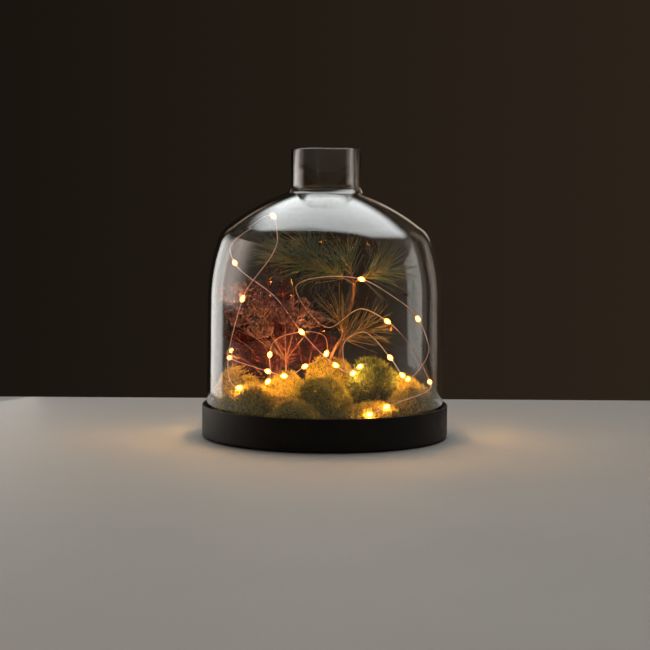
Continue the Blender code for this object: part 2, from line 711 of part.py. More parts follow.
def make_flower(name, path, heads, looks, parent, room, owner):
    """A dried umbel: one foot, stalks that fan out from it, and at each stalk's end rays with a seed head."""
    rng = random.Random(SEED + owner)
    points = smooth([placed(p) for p in path], 4)
    radii = [FLOWER_STEM] * len(points)
    room.take(points, FLOWER_STEM, owner, 1.0)
    bm, rows = stem(points, radii, 6)
    made = 0
    for head in heads:
        goal = placed(head)
        face = best_side(rows[-3:], goal)
        start = face.calc_center_median()
        for bend in (5, 0, 10, -5, 15):
            bow = (start + goal) / 2 + face.normal * bend * MM - Vector((0, 0, 2 * MM))
            line = smooth([start, bow, goal], 3)[1:]
            if room.free([start, *line], STALK_RADIUS, owner, 1.0):
                break
        else:
            print(f"{name}: the stalk to {head} is too near another piece")
        _, grown = grow(bm, face, line, [STALK_RADIUS] * len(line))
        room.take([start, *line], STALK_RADIUS, owner, 1.0)
        for sides, ahead in grown[-2:]:
            for ray in sides:
                root = ray.calc_center_median()
                for _ in range(8):
                    stray = Vector((rng.uniform(-1, 1), rng.uniform(-1, 1), rng.uniform(-0.2, 0.8))) * 0.5
                    way = (ray.normal + ahead * 0.5 + stray).normalized()
                    reach = rng.uniform(7, 11) * MM
                    end = root + way * (reach + 3.2 * MM)
                    if way.dot(ray.normal) < 0.3 or not room.free([root, end], 1.6 * MM, owner, 0.35):
                        continue
                    neck = root + way * reach
                    belly = root + way * (reach + 1.5 * MM)
                    seed = ((neck, 0.7 * MM, 0.7 * MM), (belly, 3.2 * MM, 3.2 * MM), (end, 1.4 * MM, 1.4 * MM))
                    spike(bm, ray, ahead, seed)
                    room.take([root, end], 1.6 * MM, owner, 0.35)
                    made += 1
                    break
    print(f"{name}: {made} seed heads")
    put(name, bm, looks["flower"], parent, sharp=50)
    return points


def make_sockets(name, foot, radius, mounds, parent):
    """Opens the moss where a stem is pushed into it."""
    ahead = (foot[1] - foot[0]).normalized()
    start = foot[0] - ahead * GAP * 2
    turn = Matrix.Translation(start) @ turn_to(ahead).to_4x4()
    bore = radius + SOCKET_ROOM
    bm = turned(((bore, SOCKET_LENGTH), (bore, 0)), 8, turn, closed=False)
    tool = cutter("socket_" + name, bm, parent)
    for mound, here, half in mounds:
        if (Vector(start[:2]) - here).length < half:
            cut(mound, tool)


def make_box_shell(look, parent):
    """The battery box: a tray for the cells, a closed bay for the switch, and grooves for the sliding cover."""
    y0, y1 = BOX_CENTRE_Y - BOX_HALF, BOX_CENTRE_Y + BOX_HALF
    inner0, inner1 = BOX_CENTRE_Y - INNER_HALF, BOX_CENTRE_Y + INNER_HALF
    shell = put("box_shell", block((BOX_LEFT, y0, ON_FLOOR), (BOX_RIGHT, y1, BOX_TOP), 1.8 * MM, True), look, parent)
    roof = BOX_TOP - BOX_WALL
    over = BOX_TOP + 5 * MM
    past = BOX_RIGHT + 5 * MM
    rib_top = BOX_FLOOR_TOP + 3 * MM
    rib_half = 1.0 * MM
    slot_half_y = (SLIDER_LENGTH + SLIDER_TRAVEL) / 2 + GAP
    slot_half_x = SLIDER_WIDTH / 2 + GAP
    bay_x = (BAY_LEFT + BAY_RIGHT) / 2
    hole = Matrix.Translation((BOX_LEFT - 2 * MM, GLAND_Y, GLAND_HEIGHT)) @ Matrix.Rotation(math.pi / 2, 4, "Y")
    cuts = {
        "cells": block((CELLS_LEFT, inner0, rib_top), (CELLS_RIGHT, inner1, over)),
        "front_cradle": block((CELLS_LEFT, inner0, BOX_FLOOR_TOP), (CELLS_RIGHT, BOX_CENTRE_Y - rib_half, over - MM)),
        "back_cradle": block((CELLS_LEFT, BOX_CENTRE_Y + rib_half, BOX_FLOOR_TOP), (CELLS_RIGHT, inner1, over - MM)),
        "groove": block(
            (CELLS_LEFT, inner0 - COVER_GROOVE, GROOVE_BOTTOM), (past, inner1 + COVER_GROOVE, GROOVE_TOP)
        ),
        "cover_way": block((CELLS_RIGHT - MM, inner0, GROOVE_BOTTOM), (past, inner1, over)),
        "bay": block((BAY_LEFT, inner0, BOX_FLOOR_TOP), (BAY_RIGHT, inner1, roof)),
        "contact_window": block(
            (BAY_RIGHT - MM, BOX_CENTRE_Y - 5 * MM, CELL_Z), (CELLS_LEFT + MM, BOX_CENTRE_Y + 5 * MM, CELL_Z + 4 * MM)
        ),
        "switch_slot": block(
            (bay_x - slot_half_x, BOX_CENTRE_Y - slot_half_y, roof - MM),
            (bay_x + slot_half_x, BOX_CENTRE_Y + slot_half_y, over),
        ),
        "wire_hole": turned(((GLAND_NECK + GAP, 6 * MM), (GLAND_NECK + GAP, 0)), 16, hole, closed=False),
    }
    for name, bm in cuts.items():
        cut(shell, cutter("box_" + name, bm, parent))
    return shell


def make_cell(number, way, look, parent):
    """One AA cell lying along X. Its button points right where way is 1, left where it is -1."""
    y = BOX_CENTRE_Y - way * CELL_PITCH / 2
    wall = CELLS_RIGHT if way > 0 else CELLS_LEFT
    button = wall - way * (PLATE_THICK + 2 * GAP)
    place = Matrix.Translation((button, y, CELL_Z)) @ Matrix.Rotation(way * math.pi / 2, 4, "Y")
    chamfer = 0.6 * MM
    body = BUTTON_HEIGHT
    profile = (
        (BUTTON_RADIUS, 0),
        (BUTTON_RADIUS, -body),
        (CELL_RADIUS - chamfer, -body),
        (CELL_RADIUS, -body - chamfer),
        (CELL_RADIUS, chamfer - CELL_LENGTH),
        (CELL_RADIUS - chamfer, -CELL_LENGTH),
    )
    return put(f"battery_cell_{number}", turned(profile, 20, place, closed=False), look, parent)


def make_contacts(number, way, look, parent):
    """The plate at a cell's button and the spring at its other end."""
    y = BOX_CENTRE_Y - way * CELL_PITCH / 2
    plate_wall = CELLS_RIGHT if way > 0 else CELLS_LEFT
    xs = sorted((plate_wall - way * GAP, plate_wall - way * (GAP + PLATE_THICK)))
    half = PLATE_SIDE / 2
    bm = block((xs[0], y - half, CELL_Z - half), (xs[1], y + half, CELL_Z + half))
    put(f"contact_plate_{number}", bm, look, parent)
    spring_wall = CELLS_LEFT if way > 0 else CELLS_RIGHT
    start = spring_wall + way * (GAP + SPRING_WIRE / 2)
    room = SPRING_ROOM - 2 * GAP - SPRING_WIRE
    steps = round(SPRING_TURNS * 8)
    points = []
    for k in range(steps + 1):
        t = k / steps
        radius = SPRING_RADII[0] + (SPRING_RADII[1] - SPRING_RADII[0]) * t
        a = math.tau * SPRING_TURNS * t
        points.append(Vector((start + way * room * t, y + radius * math.cos(a), CELL_Z + radius * math.sin(a))))
    gap = least_gap(points, SPRING_WIRE, math.tau * SPRING_RADII[1] * 0.6)
    print(f"contact spring {number}: least gap to itself {gap / MM:.2f} mm")
    return tube(f"contact_spring_{number}", points, SPRING_WIRE / 2, 1, look, parent)


def make_board(look, parent):
    """The circuit board on the bay's floor, with the body of the switch standing on it."""
    x0, x1 = BAY_LEFT + GAP, BAY_RIGHT - GAP
    low = BOX_FLOOR_TOP + GAP
    half, body_half = 13 * MM, 6 * MM
    sheet = block((x0, BOX_CENTRE_Y - half, low), (x1, BOX_CENTRE_Y + half, low + BOARD_THICK))
    board = put("circuit_board", sheet, look, parent)
    top = BOX_TOP - BOX_WALL - SLIDER_PLATE - 2 * GAP
    body = block(
        (x0 + MM, BOX_CENTRE_Y - body_half, low + BOARD_THICK / 2), (x1 - MM, BOX_CENTRE_Y + body_half, top)
    )
    cut(board, cutter("switch_body", body, parent), "UNION")
    return board


def make_slider(look, parent):
    """The switch's knob: a plate under the roof and a stem up through the slot, with a ridged top."""
    x = (BAY_LEFT + BAY_RIGHT) / 2
    y = BOX_CENTRE_Y - SLIDER_TRAVEL / 2
    plate_top = BOX_TOP - BOX_WALL - GAP
    plate = block((x - 3 * MM, y - 4.2 * MM, plate_top - SLIDER_PLATE), (x + 3 * MM, y + 4.2 * MM, plate_top))
    slider = put("switch_slider", plate, look, parent)
    half_x, half_y = SLIDER_WIDTH / 2, SLIDER_LENGTH / 2
    top = BOX_TOP + SLIDER_HEIGHT
    knob = block((x - half_x, y - half_y, plate_top - SLIDER_PLATE / 2), (x + half_x, y + half_y, top))
    cut(slider, cutter("slider_knob", knob, parent), "UNION")
    for name, at in (("front", y - 0.8 * MM), ("back", y + 0.8 * MM)):
        groove = block((x - 3 * MM, at - 0.25 * MM, top - 0.4 * MM), (x + 3 * MM, at + 0.25 * MM, top + MM))
        cut(slider, cutter("slider_groove_" + name, groove, parent))
    return slider


def make_cover(look, parent):
    """The sliding cover: an edge that runs in the grooves, a raised middle flush with the box, finger ribs."""
    edge = INNER_HALF + COVER_GROOVE - GAP
    raised = INNER_HALF - GAP
    low = GROOVE_BOTTOM + GAP
    step = low + COVER_RIM
    outline = [(-edge, low), (edge, low), (edge, step), (raised, step), (raised, BOX_TOP), (-raised, BOX_TOP)]
    outline += [(-raised, step), (-edge, step)]
    section = [(BOX_CENTRE_Y + y, z) for y, z in outline]
    cover = put("battery_cover", prism(section, CELLS_LEFT + GAP, BOX_RIGHT), look, parent)
    half, depth = 8 * MM, 0.5 * MM
    for k in range(COVER_RIBS):
        x = BOX_RIGHT - (4 + 2.2 * k) * MM
        groove = block(
            (x - depth, BOX_CENTRE_Y - half, BOX_TOP - depth), (x + depth, BOX_CENTRE_Y + half, BOX_TOP + MM)
        )
        cut(cover, cutter(f"cover_groove_{k + 1}", groove, parent))
    return cover


def make_gland(look, parent):
    """The grommet that the wire comes out of, pushed into the box's end wall."""
    place = Matrix.Translation((BOX_LEFT + BOX_WALL, GLAND_Y, GLAND_HEIGHT)) @ Matrix.Rotation(-math.pi / 2, 4, "Y")
    out = BOX_WALL + GAP
    profile = (
        (WIRE, out + GLAND_FLANGE + GLAND_NOSE),
        (GLAND_RADIUS - GLAND_NOSE, out + GLAND_FLANGE),
        (GLAND_RADIUS, out),
        (GLAND_NECK, out),
        (GLAND_NECK, 0),
    )
    return put("wire_gland", turned(profile, 16, place, closed=False), look, parent)


def make_all():
    clear_scene()
    looks = {
        "tray": material("black_tray", (0.018, 0.017, 0.016), 0.45, 0.3),
        "felt": material("black_felt", (0.02, 0.02, 0.02), 0.95),
        "glass": material("clear_glass", (0.95, 0.97, 0.96), 0.02, transmission=1.0),
        "bed": material("moss_dark", (0.10, 0.12, 0.03), 0.95),
        "moss": material("reindeer_moss", (0.32, 0.36, 0.08), 0.95),
        "pine": material("pine_green", (0.05, 0.11, 0.04), 0.6),
        "fern": material("dark_red_fern", (0.20, 0.02, 0.015), 0.7),
        "flower": material("dried_flower", (0.42, 0.20, 0.14), 0.85),
        "copper": material("copper_wire", (0.80, 0.42, 0.26), 0.3, 1.0),
        "resin": material("lamp_resin", (1.0, 0.85, 0.55), 0.1, transmission=0.5),
        "plastic": material("black_plastic", (0.02, 0.02, 0.02), 0.5),
        "knob": material("grey_plastic", (0.35, 0.35, 0.35), 0.5),
        "rubber": material("black_rubber", (0.03, 0.03, 0.03), 0.8),
        "cell": material("battery_sleeve", (0.15, 0.30, 0.55), 0.35, 0.4),
        "steel": material("nickel_steel", (0.70, 0.68, 0.64), 0.3, 1.0),
        "board": material("green_board", (0.02, 0.20, 0.08), 0.5),
    }
    base = empty("base", Vector())
    cloche = empty("cloche_lift", Vector((0, 0, ON_FLOOR)), base)
    cover = empty("battery_cover_slide", Vector((BOX_RIGHT, BOX_CENTRE_Y, BOX_TOP)), base)
    switch = empty("switch_slide", Vector(((BAY_LEFT + BAY_RIGHT) / 2, BOX_CENTRE_Y, BOX_TOP)), base)
    bpy.context.view_layer.update()

    make_felt(looks["felt"], base)
    make_tray(looks["tray"], base)
    make_bell(looks["glass"], cloche)
    make_box_shell(looks["plastic"], base)
    for number, way in ((1, 1), (2, -1)):
        make_cell(number, way, looks["cell"], base)
        make_contacts(number, way, looks["steel"], base)
    make_board(looks["board"], base)
    make_slider(looks["knob"], switch)
    make_cover(looks["plastic"], cover)
    make_gland(looks["rubber"], base)

    room = Room()
    make_string(looks, base, room)
    make_bed(looks["bed"], base)
    mounds = []
    for index, (_, x, y, half, _) in enumerate(MOUNDS):
        mound = make_mound(index, room, looks["moss"], base)
        mounds.append((mound, placed((x, y)), half * PLACE))

    flower_foot = make_flower(
        "dried_flower",
        ((-38, -16, 34), (-38, -16, 62), (-38, -16, 76)),
        ((-92, -2, 138), (-74, -26, 146), (-84, -18, 118), (-62, -52, 138), (-60, -8, 126), (-38, -48, 124),
         (-26, -20, 128), (-62, -30, 108), (-14, -12, 116)),
        looks, base, room, 1,
    )
    pine_foot = make_pine(
        "pine_branch_top",
        ((12, 19, 38), (15.5, 17.5, 82), (22, 14, 114), (28, 10, 144), (28, 8, 152)),
        (((8, 6, 161), (-26, 4, 172)), ((24, 14, 162), (20, 20, 174)), ((40, 8, 156), (56, 6, 162))),
        looks, base, room, 2, 0.62,
    )
    low_foot = make_pine(
        "pine_branch_low",
        ((-1, 6, 40), (7, 4.5, 80), (12, 4, 90), (16, 2, 95)),
        (((24, 2, 98), (38, 4, 104)), ((18, 6, 104), (14, 10, 114))),
        looks, base, room, 3, 0.8,
    )
    fern_feet = [
        make_fern(name, path, side_way, looks, base, room, owner)
        for owner, (name, path, side_way) in enumerate((
            ("fern_frond_tall", ((-46, 2, 36), (-47, 4, 66), (-54, 12, 120), (-60, 18, 194)), (1, 0.3, 0)),
            ("fern_frond_left", ((-70, 18, 36), (-73, 20, 76), (-82, 26, 112), (-80, 36, 150)), (1, 0.6, 0)),
            ("fern_frond_low", ((-58, 4, 36), (-60, 4, 66), (-72, 4, 84), (-98, 12, 100)), (0.2, 0.3, 1)),
            ("fern_frond_right", ((-16, 18, 38), (-15, 19, 74), (-8, 24, 96), (10, 34, 116)), (0.8, 0.2, 0.3)),
        ), start=4)
    ]
    make_sockets("flower", flower_foot, FLOWER_STEM, mounds, base)
    make_sockets("pine_top", pine_foot, PINE_STEM, mounds, base)
    make_sockets("pine_low", low_foot, PINE_STEM, mounds, base)
    for number, foot in enumerate(fern_feet, start=1):
        make_sockets(f"fern_{number}", foot, FERN_STEM, mounds, base)


make_all()
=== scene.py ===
# %% [markdown]
# # A glass cloche light
# A bell of clear blown glass stands in a black metal tray. Under it are cushions of moss, a pine branch, dried
# ferns, a dried umbel and a string of small warm lamps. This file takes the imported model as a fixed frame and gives
# each piece the shape and finish that the eye meets, at real size and in metres.

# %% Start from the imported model
import math

import bmesh
import bpy
import numpy as np
from mathutils import Euler, Matrix, Vector, noise


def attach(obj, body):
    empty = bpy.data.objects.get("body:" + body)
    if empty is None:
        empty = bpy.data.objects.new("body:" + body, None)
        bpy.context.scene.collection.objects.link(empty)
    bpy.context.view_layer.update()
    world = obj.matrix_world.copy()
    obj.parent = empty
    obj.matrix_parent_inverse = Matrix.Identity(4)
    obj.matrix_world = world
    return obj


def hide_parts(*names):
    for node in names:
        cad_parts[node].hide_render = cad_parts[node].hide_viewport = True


MM = 0.001
SEED = 7
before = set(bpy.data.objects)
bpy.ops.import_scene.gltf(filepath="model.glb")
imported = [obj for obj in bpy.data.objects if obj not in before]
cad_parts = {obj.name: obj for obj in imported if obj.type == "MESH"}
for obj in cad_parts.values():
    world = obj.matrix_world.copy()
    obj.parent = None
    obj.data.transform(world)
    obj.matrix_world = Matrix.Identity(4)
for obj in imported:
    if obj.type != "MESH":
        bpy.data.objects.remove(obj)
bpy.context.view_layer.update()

# %% [markdown]
# ## Camera
# The photograph was taken with a long lens from about 1.8 m, level with the crown, and tilted down by 4.6 degrees.
# The tray's open ellipse against the neck's, which is nearly edge on, gives the height and the distance. A long lens
# keeps the bell's sides upright, which is why its foot and shoulder look equally wide.

# %% Camera
CAMERA_PLACE = (0, -1.76, 0.252)
CAMERA_PITCH = 4.64
CAMERA_ROLL = 0.36
CAMERA_SHIFT = -0.0003          # sideways, as a share of the picture


def in_scene(name, data):
    """An object of its own for a mesh, a light or a camera."""
    made = bpy.data.objects.new(name, data)
    bpy.context.scene.collection.objects.link(made)
    return made


lens = bpy.data.cameras.new("camera")
lens.lens = 100
lens.sensor_width = 36
lens.shift_x = CAMERA_SHIFT
camera = in_scene("camera", lens)
camera.location = CAMERA_PLACE
tilt = Matrix.Rotation(math.radians(90 - CAMERA_PITCH), 4, "X") @ Matrix.Rotation(math.radians(CAMERA_ROLL), 4, "Z")
camera.rotation_euler = tilt.to_euler()
bpy.context.scene.camera = camera

# %% [markdown]
# ## Light wire
# Two fine enamelled copper wires are twisted together and bent by hand into loose loops, stiff enough to stand. The
# route is read off the photograph lamp by lamp, and one smooth curve runs through all of its points. Two strands then
# wind round that curve. A single bevelled curve would be quicker, but it would lose the twist that catches the light.

# %% The wire's route, in millimetres. True marks a lamp
ROUTE = (
    (-71.0, 60, 12.0, False), (-88, 52, 34, False), (-94.8, 38, 80, True), (-93.2, -6, 77, True),
    (-54.4, -34, 67, True), (-38.8, -42, 63.5, True), (-19.6, -6, 69, True), (1.2, -8, 82, True),
    (0.9, -14, 97, False), (-50.6, -30, 92.9, False), (-52.7, -38, 83.4, True), (-53.5, -60, 60, True),
    (-79.6, -68, 55, True), (-78.5, -40, 137, True), (-46, -30, 196, False),
    (-50.2, -24, 215, True), (-73, -8, 205, False), (-93.5, 4, 184.5, False), (-87.7, -14, 170, True),
    (-45, -40, 136, False), (-22.5, -38, 105.5, True), (10.3, -46, 74.5, True), (21, -53, 69, False),
    (33.1, -50, 73.8, True), (39, -44, 76, False), (35, -37, 74, False), (27, -38, 66, True),
    (19, -16, 94, False), (35.9, -6, 103, False), (63.2, -14, 79, True), (74.2, -34, 64, True),
    (80, -22, 59, True), (101, -6, 84, False), (91.4, 10, 115, True), (64.5, -14, 139, False),
    (34.6, -24, 155.5, True), (-28.7, -8, 146, False), (3, -14, 108, False), (35.6, -24, 127, False),
    (59.8, -24, 115, True), (102, -12, 55, True), (98, -44, 51, False), (57.5, -86, 40, True), (41, -98, 34, True),
)
WIRE = 1.2 * MM
POINTS_PER_SPAN = 44


def smooth(points, per_span):
    """Rows of x, y, z along one smooth curve through the given points, which are every per_span-th of them."""
    points = np.array(points, float)
    steps = np.linalg.norm(np.diff(points, axis=0), axis=1)[:, None]
    ahead = np.diff(points, axis=0) / steps
    inner = (ahead[:-1] * steps[1:] + ahead[1:] * steps[:-1]) / (steps[1:] + steps[:-1])
    slopes = np.vstack((ahead[:1], inner, ahead[-1:]))
    t = (np.arange(per_span) / per_span)[None, :, None]
    a, b = points[:-1, None], points[1:, None]
    leave, arrive = (slopes[:-1] * steps)[:, None], (slopes[1:] * steps)[:, None]
    rows = a * (2 * t**3 - 3 * t**2 + 1) + leave * (t**3 - 2 * t**2 + t)
    rows += b * (3 * t**2 - 2 * t**3) + arrive * (t**3 - t**2)
    return np.vstack((rows.reshape(-1, 3), points[-1:]))


wire_path = smooth([np.array(p[:3]) * MM for p in ROUTE], POINTS_PER_SPAN)


# %% Two strands wound round the route
STRAND = WIRE / 4               # radius of one strand
TWIST = 6.0 * MM                # one full turn of the pair


def object_from(name, points, faces, edges=()):
    """A plain mesh object, its place in its points."""
    mesh = bpy.data.meshes.new(name)
    mesh.from_pydata([tuple(p) for p in points], list(edges), faces)
    return in_scene(name, mesh)


def frames_along(path):
    """Unit directions along a path, and two across it that don't spin round it."""
    along = np.gradient(path, axis=0)
    along /= np.linalg.norm(along, axis=1)[:, None]
    across = np.empty_like(path)
    across[0] = np.cross(along[0], (0.1, 0.2, 1))
    for i in range(len(path)):
        last = across[max(i - 1, 0)]
        across[i] = last - along[i] * (last @ along[i])
        across[i] /= np.linalg.norm(across[i])
    return along, across, np.cross(along, across)


def tube_faces(rings, sides, first=0):
    """Quads between rings of points, and a cap at each end."""
    faces = [
        (first + r * sides + k, first + r * sides + (k + 1) % sides, first + (r + 1) * sides + (k + 1) % sides,
         first + (r + 1) * sides + k)
        for r in range(rings - 1) for k in range(sides)
    ]
    last = first + (rings - 1) * sides
    return faces + [tuple(range(first + sides - 1, first - 1, -1)), tuple(range(last, last + sides))]


_, across, upright = frames_along(wire_path)
travelled = np.concatenate(([0], np.cumsum(np.linalg.norm(np.diff(wire_path, axis=0), axis=1))))
sides = 5
wire_points, wire_faces = [], []
for half_turn in (0, math.pi):
    angle = (travelled / TWIST * math.tau + half_turn)[:, None]
    middle = wire_path + STRAND * (across * np.cos(angle) + upright * np.sin(angle))
    wire_faces += tube_faces(len(wire_path), sides, len(wire_points))
    around = angle[:, None] + (np.arange(sides) * math.tau / sides)[None, :, None]
    ring = middle[:, None] + STRAND * (across[:, None] * np.cos(around) + upright[:, None] * np.sin(around))
    wire_points += ring.reshape(-1, 3).tolist()
light_wire = object_from("twisted_light_wire", wire_points, wire_faces)
light_wire.data.shade_smooth()
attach(light_wire, "base")
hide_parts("light_wire")
print("twisted wire:", len(wire_faces), "faces")

# %% [markdown]
# ## Writing node trees
# Geometry Nodes and shaders are both trees of nodes. A sheet adds a node from its type, its settings and its sockets,
# and a value is an output that can be used in sums, so that a mask or a height is written as plain arithmetic.

# %% Node sheets and values


def arithmetic(operation, swapped=False):
    """A method that adds one Math node for an operator, or for its reflected form."""
    return lambda self, other: self.math(operation, *((other, self) if swapped else (self, other)))


class Value:
    """A node's output. Arithmetic on it adds Math nodes to its sheet."""

    __add__, __radd__ = arithmetic("ADD"), arithmetic("ADD", True)
    __sub__, __rsub__ = arithmetic("SUBTRACT"), arithmetic("SUBTRACT", True)
    __mul__, __rmul__ = arithmetic("MULTIPLY"), arithmetic("MULTIPLY", True)
    __truediv__, __rtruediv__ = arithmetic("DIVIDE"), arithmetic("DIVIDE", True)

    def __init__(self, sheet, socket):
        self.sheet, self.socket = sheet, socket

    def math(self, operation, *values):
        return self.sheet.add("ShaderNodeMath", {"operation": operation}, dict(enumerate(values)))

    def __getitem__(self, output):
        return Value(self.sheet, self.socket.node.outputs[output])

    def between(self, low, high):
        """0 up to low, 1 from high on, and even in between."""
        sockets = {"Value": self, "From Min": low, "From Max": high}
        return self.sheet.add("ShaderNodeMapRange", {"interpolation_type": "SMOOTHSTEP"}, sockets)


class Sheet:
    """Adds nodes to one tree."""

    def __init__(self, tree):
        self.tree = tree

    def join(self, value, socket):
        if isinstance(value, list):
            for each in value:
                self.join(each, socket)
        elif isinstance(value, Value):
            self.tree.links.new(value.socket, socket)
        else:
            socket.default_value = value

    def add(self, kind, settings=None, sockets=None, out=0):
        node = self.tree.nodes.new(kind)
        for name, value in (settings or {}).items():
            if name == "stops":
                for k, (at, colour) in enumerate(value):
                    stop = node.color_ramp.elements[k] if k < 2 else node.color_ramp.elements.new(at)
                    stop.position, stop.color = at, (*colour, 1)
            else:
                setattr(node, name, value)
        for key, value in (sockets or {}).items():
            self.join(value, node.inputs[key])
        return Value(self, node.outputs[out])

    def place(self):
        return self.add("ShaderNodeTexCoord", out="Object")

    def noise(self, scale, detail=3.0, roughness=0.55, place=None):
        sockets = {"Vector": place or self.place(), "Scale": scale, "Detail": detail, "Roughness": roughness}
        return self.add("ShaderNodeTexNoise", None, sockets)

    def mix(self, share, first, second):
        first, second = ((*c, 1) if isinstance(c, tuple) and len(c) == 3 else c for c in (first, second))
        return self.add("ShaderNodeMix", {"data_type": "RGBA"}, {0: share, 6: first, 7: second}, out=2)

    def bump(self, height, distance, strength=1.0):
        return self.add("ShaderNodeBump", None, {"Height": height, "Distance": distance, "Strength": strength})

    def vector(self, **parts):
        return self.add("ShaderNodeCombineXYZ", None, parts)

    def part(self, vector, axis):
        """One of a vector's three numbers."""
        return self.add("ShaderNodeSeparateXYZ", None, {0: vector}, out=axis)

    def carried(self, name):
        """A number that the mesh carries at each point, for a shader."""
        return self.add("ShaderNodeAttribute", {"attribute_name": name}, out="Fac")


print("sheets ready")

# %% Finishes


def finish_of(name, settings, pattern=None):
    """A material with plain numbers on its Principled shader's sockets, and a pattern(sheet) for those that vary."""
    made = bpy.data.materials.new(name)
    made.use_nodes = True
    sheet = Sheet(made.node_tree)
    shader = made.node_tree.nodes["Principled BSDF"]
    for socket, value in settings.items():
        shader.inputs[socket].default_value = (*value, 1) if isinstance(value, tuple) else value
    for socket, value in (pattern(sheet) if pattern else {}).items():
        sheet.join(value, shader.inputs[socket])
    return made


print("finishes ready")

# %% Trees, and running one on an object


def recipe(title, inputs):
    """An empty Geometry Nodes tree. Returns its sheet, its inputs by name and a way to end it, which gives the tree."""
    tree = bpy.data.node_groups.new(title, "GeometryNodeTree")
    tree.interface.new_socket("Geometry", in_out="INPUT", socket_type="NodeSocketGeometry")
    for name, kind in inputs.items():
        tree.interface.new_socket(name, in_out="INPUT", socket_type="NodeSocket" + kind)
    tree.interface.new_socket("Geometry", in_out="OUTPUT", socket_type="NodeSocketGeometry")
    sheet = Sheet(tree)
    entry = tree.nodes.new("NodeGroupInput")
    ending = tree.nodes.new("NodeGroupOutput")
    given = {name: Value(sheet, entry.outputs[name]) for name in ("Geometry", *inputs)}

    def ended(geometry):
        sheet.join(geometry, ending.inputs[0])
        return tree

    return sheet, given, ended


def applied(obj):
    """Turns an object's modifiers into its plain mesh."""
    graph = bpy.context.evaluated_depsgraph_get()
    graph.update()
    mesh = bpy.data.meshes.new_from_object(obj.evaluated_get(graph), preserve_all_data_layers=True, depsgraph=graph)
    obj.modifiers.clear()
    obj.data = mesh


def cooked(start, tree, values):
    """Runs a tree on an object and keeps the result as its plain mesh."""
    modifier = start.modifiers.new("form", "NODES")
    modifier.node_group = tree
    for item in tree.interface.items_tree:
        if item.in_out == "INPUT" and item.name in values:
            modifier[item.identifier] = values[item.name]
    applied(start)
    start.data.name = start.name


print("trees ready")

# %% What the trees are made of


def turned_to(sheet, ahead, aside):
    """A rotation that carries Z to one direction and X towards another."""
    settings = {"primary_axis": "Z", "secondary_axis": "X"}
    return sheet.add("FunctionNodeAxesToRotation", settings, {"Primary Axis": ahead, "Secondary Axis": aside})


def spun(sheet, rotation, angles):
    """A rotation with a further turn in its own axes."""
    turn = sheet.add("FunctionNodeEulerToRotation", None, {0: angles})
    return sheet.add("FunctionNodeRotateRotation", {"rotation_space": "LOCAL"}, {0: rotation, 1: turn})


def random_number(sheet, low, high, seed=SEED):
    return sheet.add("FunctionNodeRandomValue", {"data_type": "FLOAT"}, {2: low, 3: high, "Seed": seed}, out=1)


def random_vector(sheet, low, high, seed=SEED):
    return sheet.add("FunctionNodeRandomValue", {"data_type": "FLOAT_VECTOR"}, {0: low, 1: high, "Seed": seed})


def attribute(sheet, name, kind="FLOAT"):
    return sheet.add("GeometryNodeInputNamedAttribute", {"data_type": kind}, {"Name": name})


def greater(sheet, first, second):
    """True where the first number is the greater."""
    return sheet.add("FunctionNodeCompare", {"data_type": "FLOAT", "operation": "GREATER_THAN"}, {0: first, 1: second})


def standing(sheet, ahead):
    """A rotation that carries Z to a direction."""
    return sheet.add("FunctionNodeAlignRotationToVector", {"axis": "Z"}, {"Vector": ahead})


def strewn(sheet, surface, spacing, crowding, more):
    """Points on a surface, no two of them nearer than the spacing."""
    sockets = {"Mesh": surface, "Distance Min": spacing, "Density Max": crowding / (spacing * spacing), **more}
    return sheet.add("GeometryNodeDistributePointsOnFaces", {"distribute_method": "POISSON"}, sockets)


def sown(sheet, points, shelf, rotation, scale, where=True):
    """Real copies of a shelf's shapes, the next one for each point."""
    taken = {"Collection": shelf, "Separate Children": True, "Reset Children": True}
    shape = sheet.add("GeometryNodeCollectionInfo", None, taken)
    copies = sheet.add("GeometryNodeInstanceOnPoints", None, {
        "Points": points, "Selection": where, "Instance": shape, "Pick Instance": True, "Rotation": rotation,
        "Scale": scale,
    })
    return sheet.add("GeometryNodeRealizeInstances", None, {0: copies})


def coated(sheet, geometry, material):
    return sheet.add("GeometryNodeSetMaterial", None, {"Geometry": geometry, "Material": material})


def joined(sheet, *parts):
    return sheet.add("GeometryNodeJoinGeometry", None, {0: list(parts)})


print("parts for trees ready")

# %% [markdown]
# ## Copper
# The strands are copper under a thin clear enamel: a rosy metal, a little darker where the enamel has aged, and with
# fine scuffs from the twisting.

# %% Copper finish


def copper_pattern(sheet):
    aged = sheet.noise(60, 4).between(0.42, 0.62)
    scuffs = sheet.noise(900, 2)
    return {
        "Base Color": sheet.mix(aged, (0.94, 0.70, 0.59), (0.76, 0.50, 0.40)),
        "Roughness": 0.32 + scuffs * 0.22,
    }


copper = finish_of("enamelled_copper", {"Metallic": 1.0, "Coat Weight": 0.3, "Coat Roughness": 0.1}, copper_pattern)
light_wire.data.materials.append(copper)
print("copper on", light_wire.name)

# %% [markdown]
# ## Lamps
# Each lamp is a tiny chip on the wire inside a drop of clear resin. The chip and its phosphor are a core that glows
# almost white, and the drop round it is translucent amber, so that each lamp has a soft warm rim. Both are turned once
# and Geometry Nodes set them on every lamp's place, along the wire. An attribute tells the core from the drop. Clear
# glass mirrors only a few hundredths of what it faces, so the lamps' small sparks in it need the core's full radiance.

# %% One drop of resin and its core
DROP_LENGTH = 7.2 * MM
DROP_RADIUS = 2.35 * MM
CORE_LENGTH = 4.6 * MM
CORE_RADIUS = 1.45 * MM


def stored(mesh, name, values, kind="FLOAT"):
    """Writes one number, or one vector, per point of a mesh."""
    layer = mesh.attributes.new(name, kind, "POINT")
    layer.data.foreach_set("value" if kind == "FLOAT" else "vector", np.array(values, float).ravel())


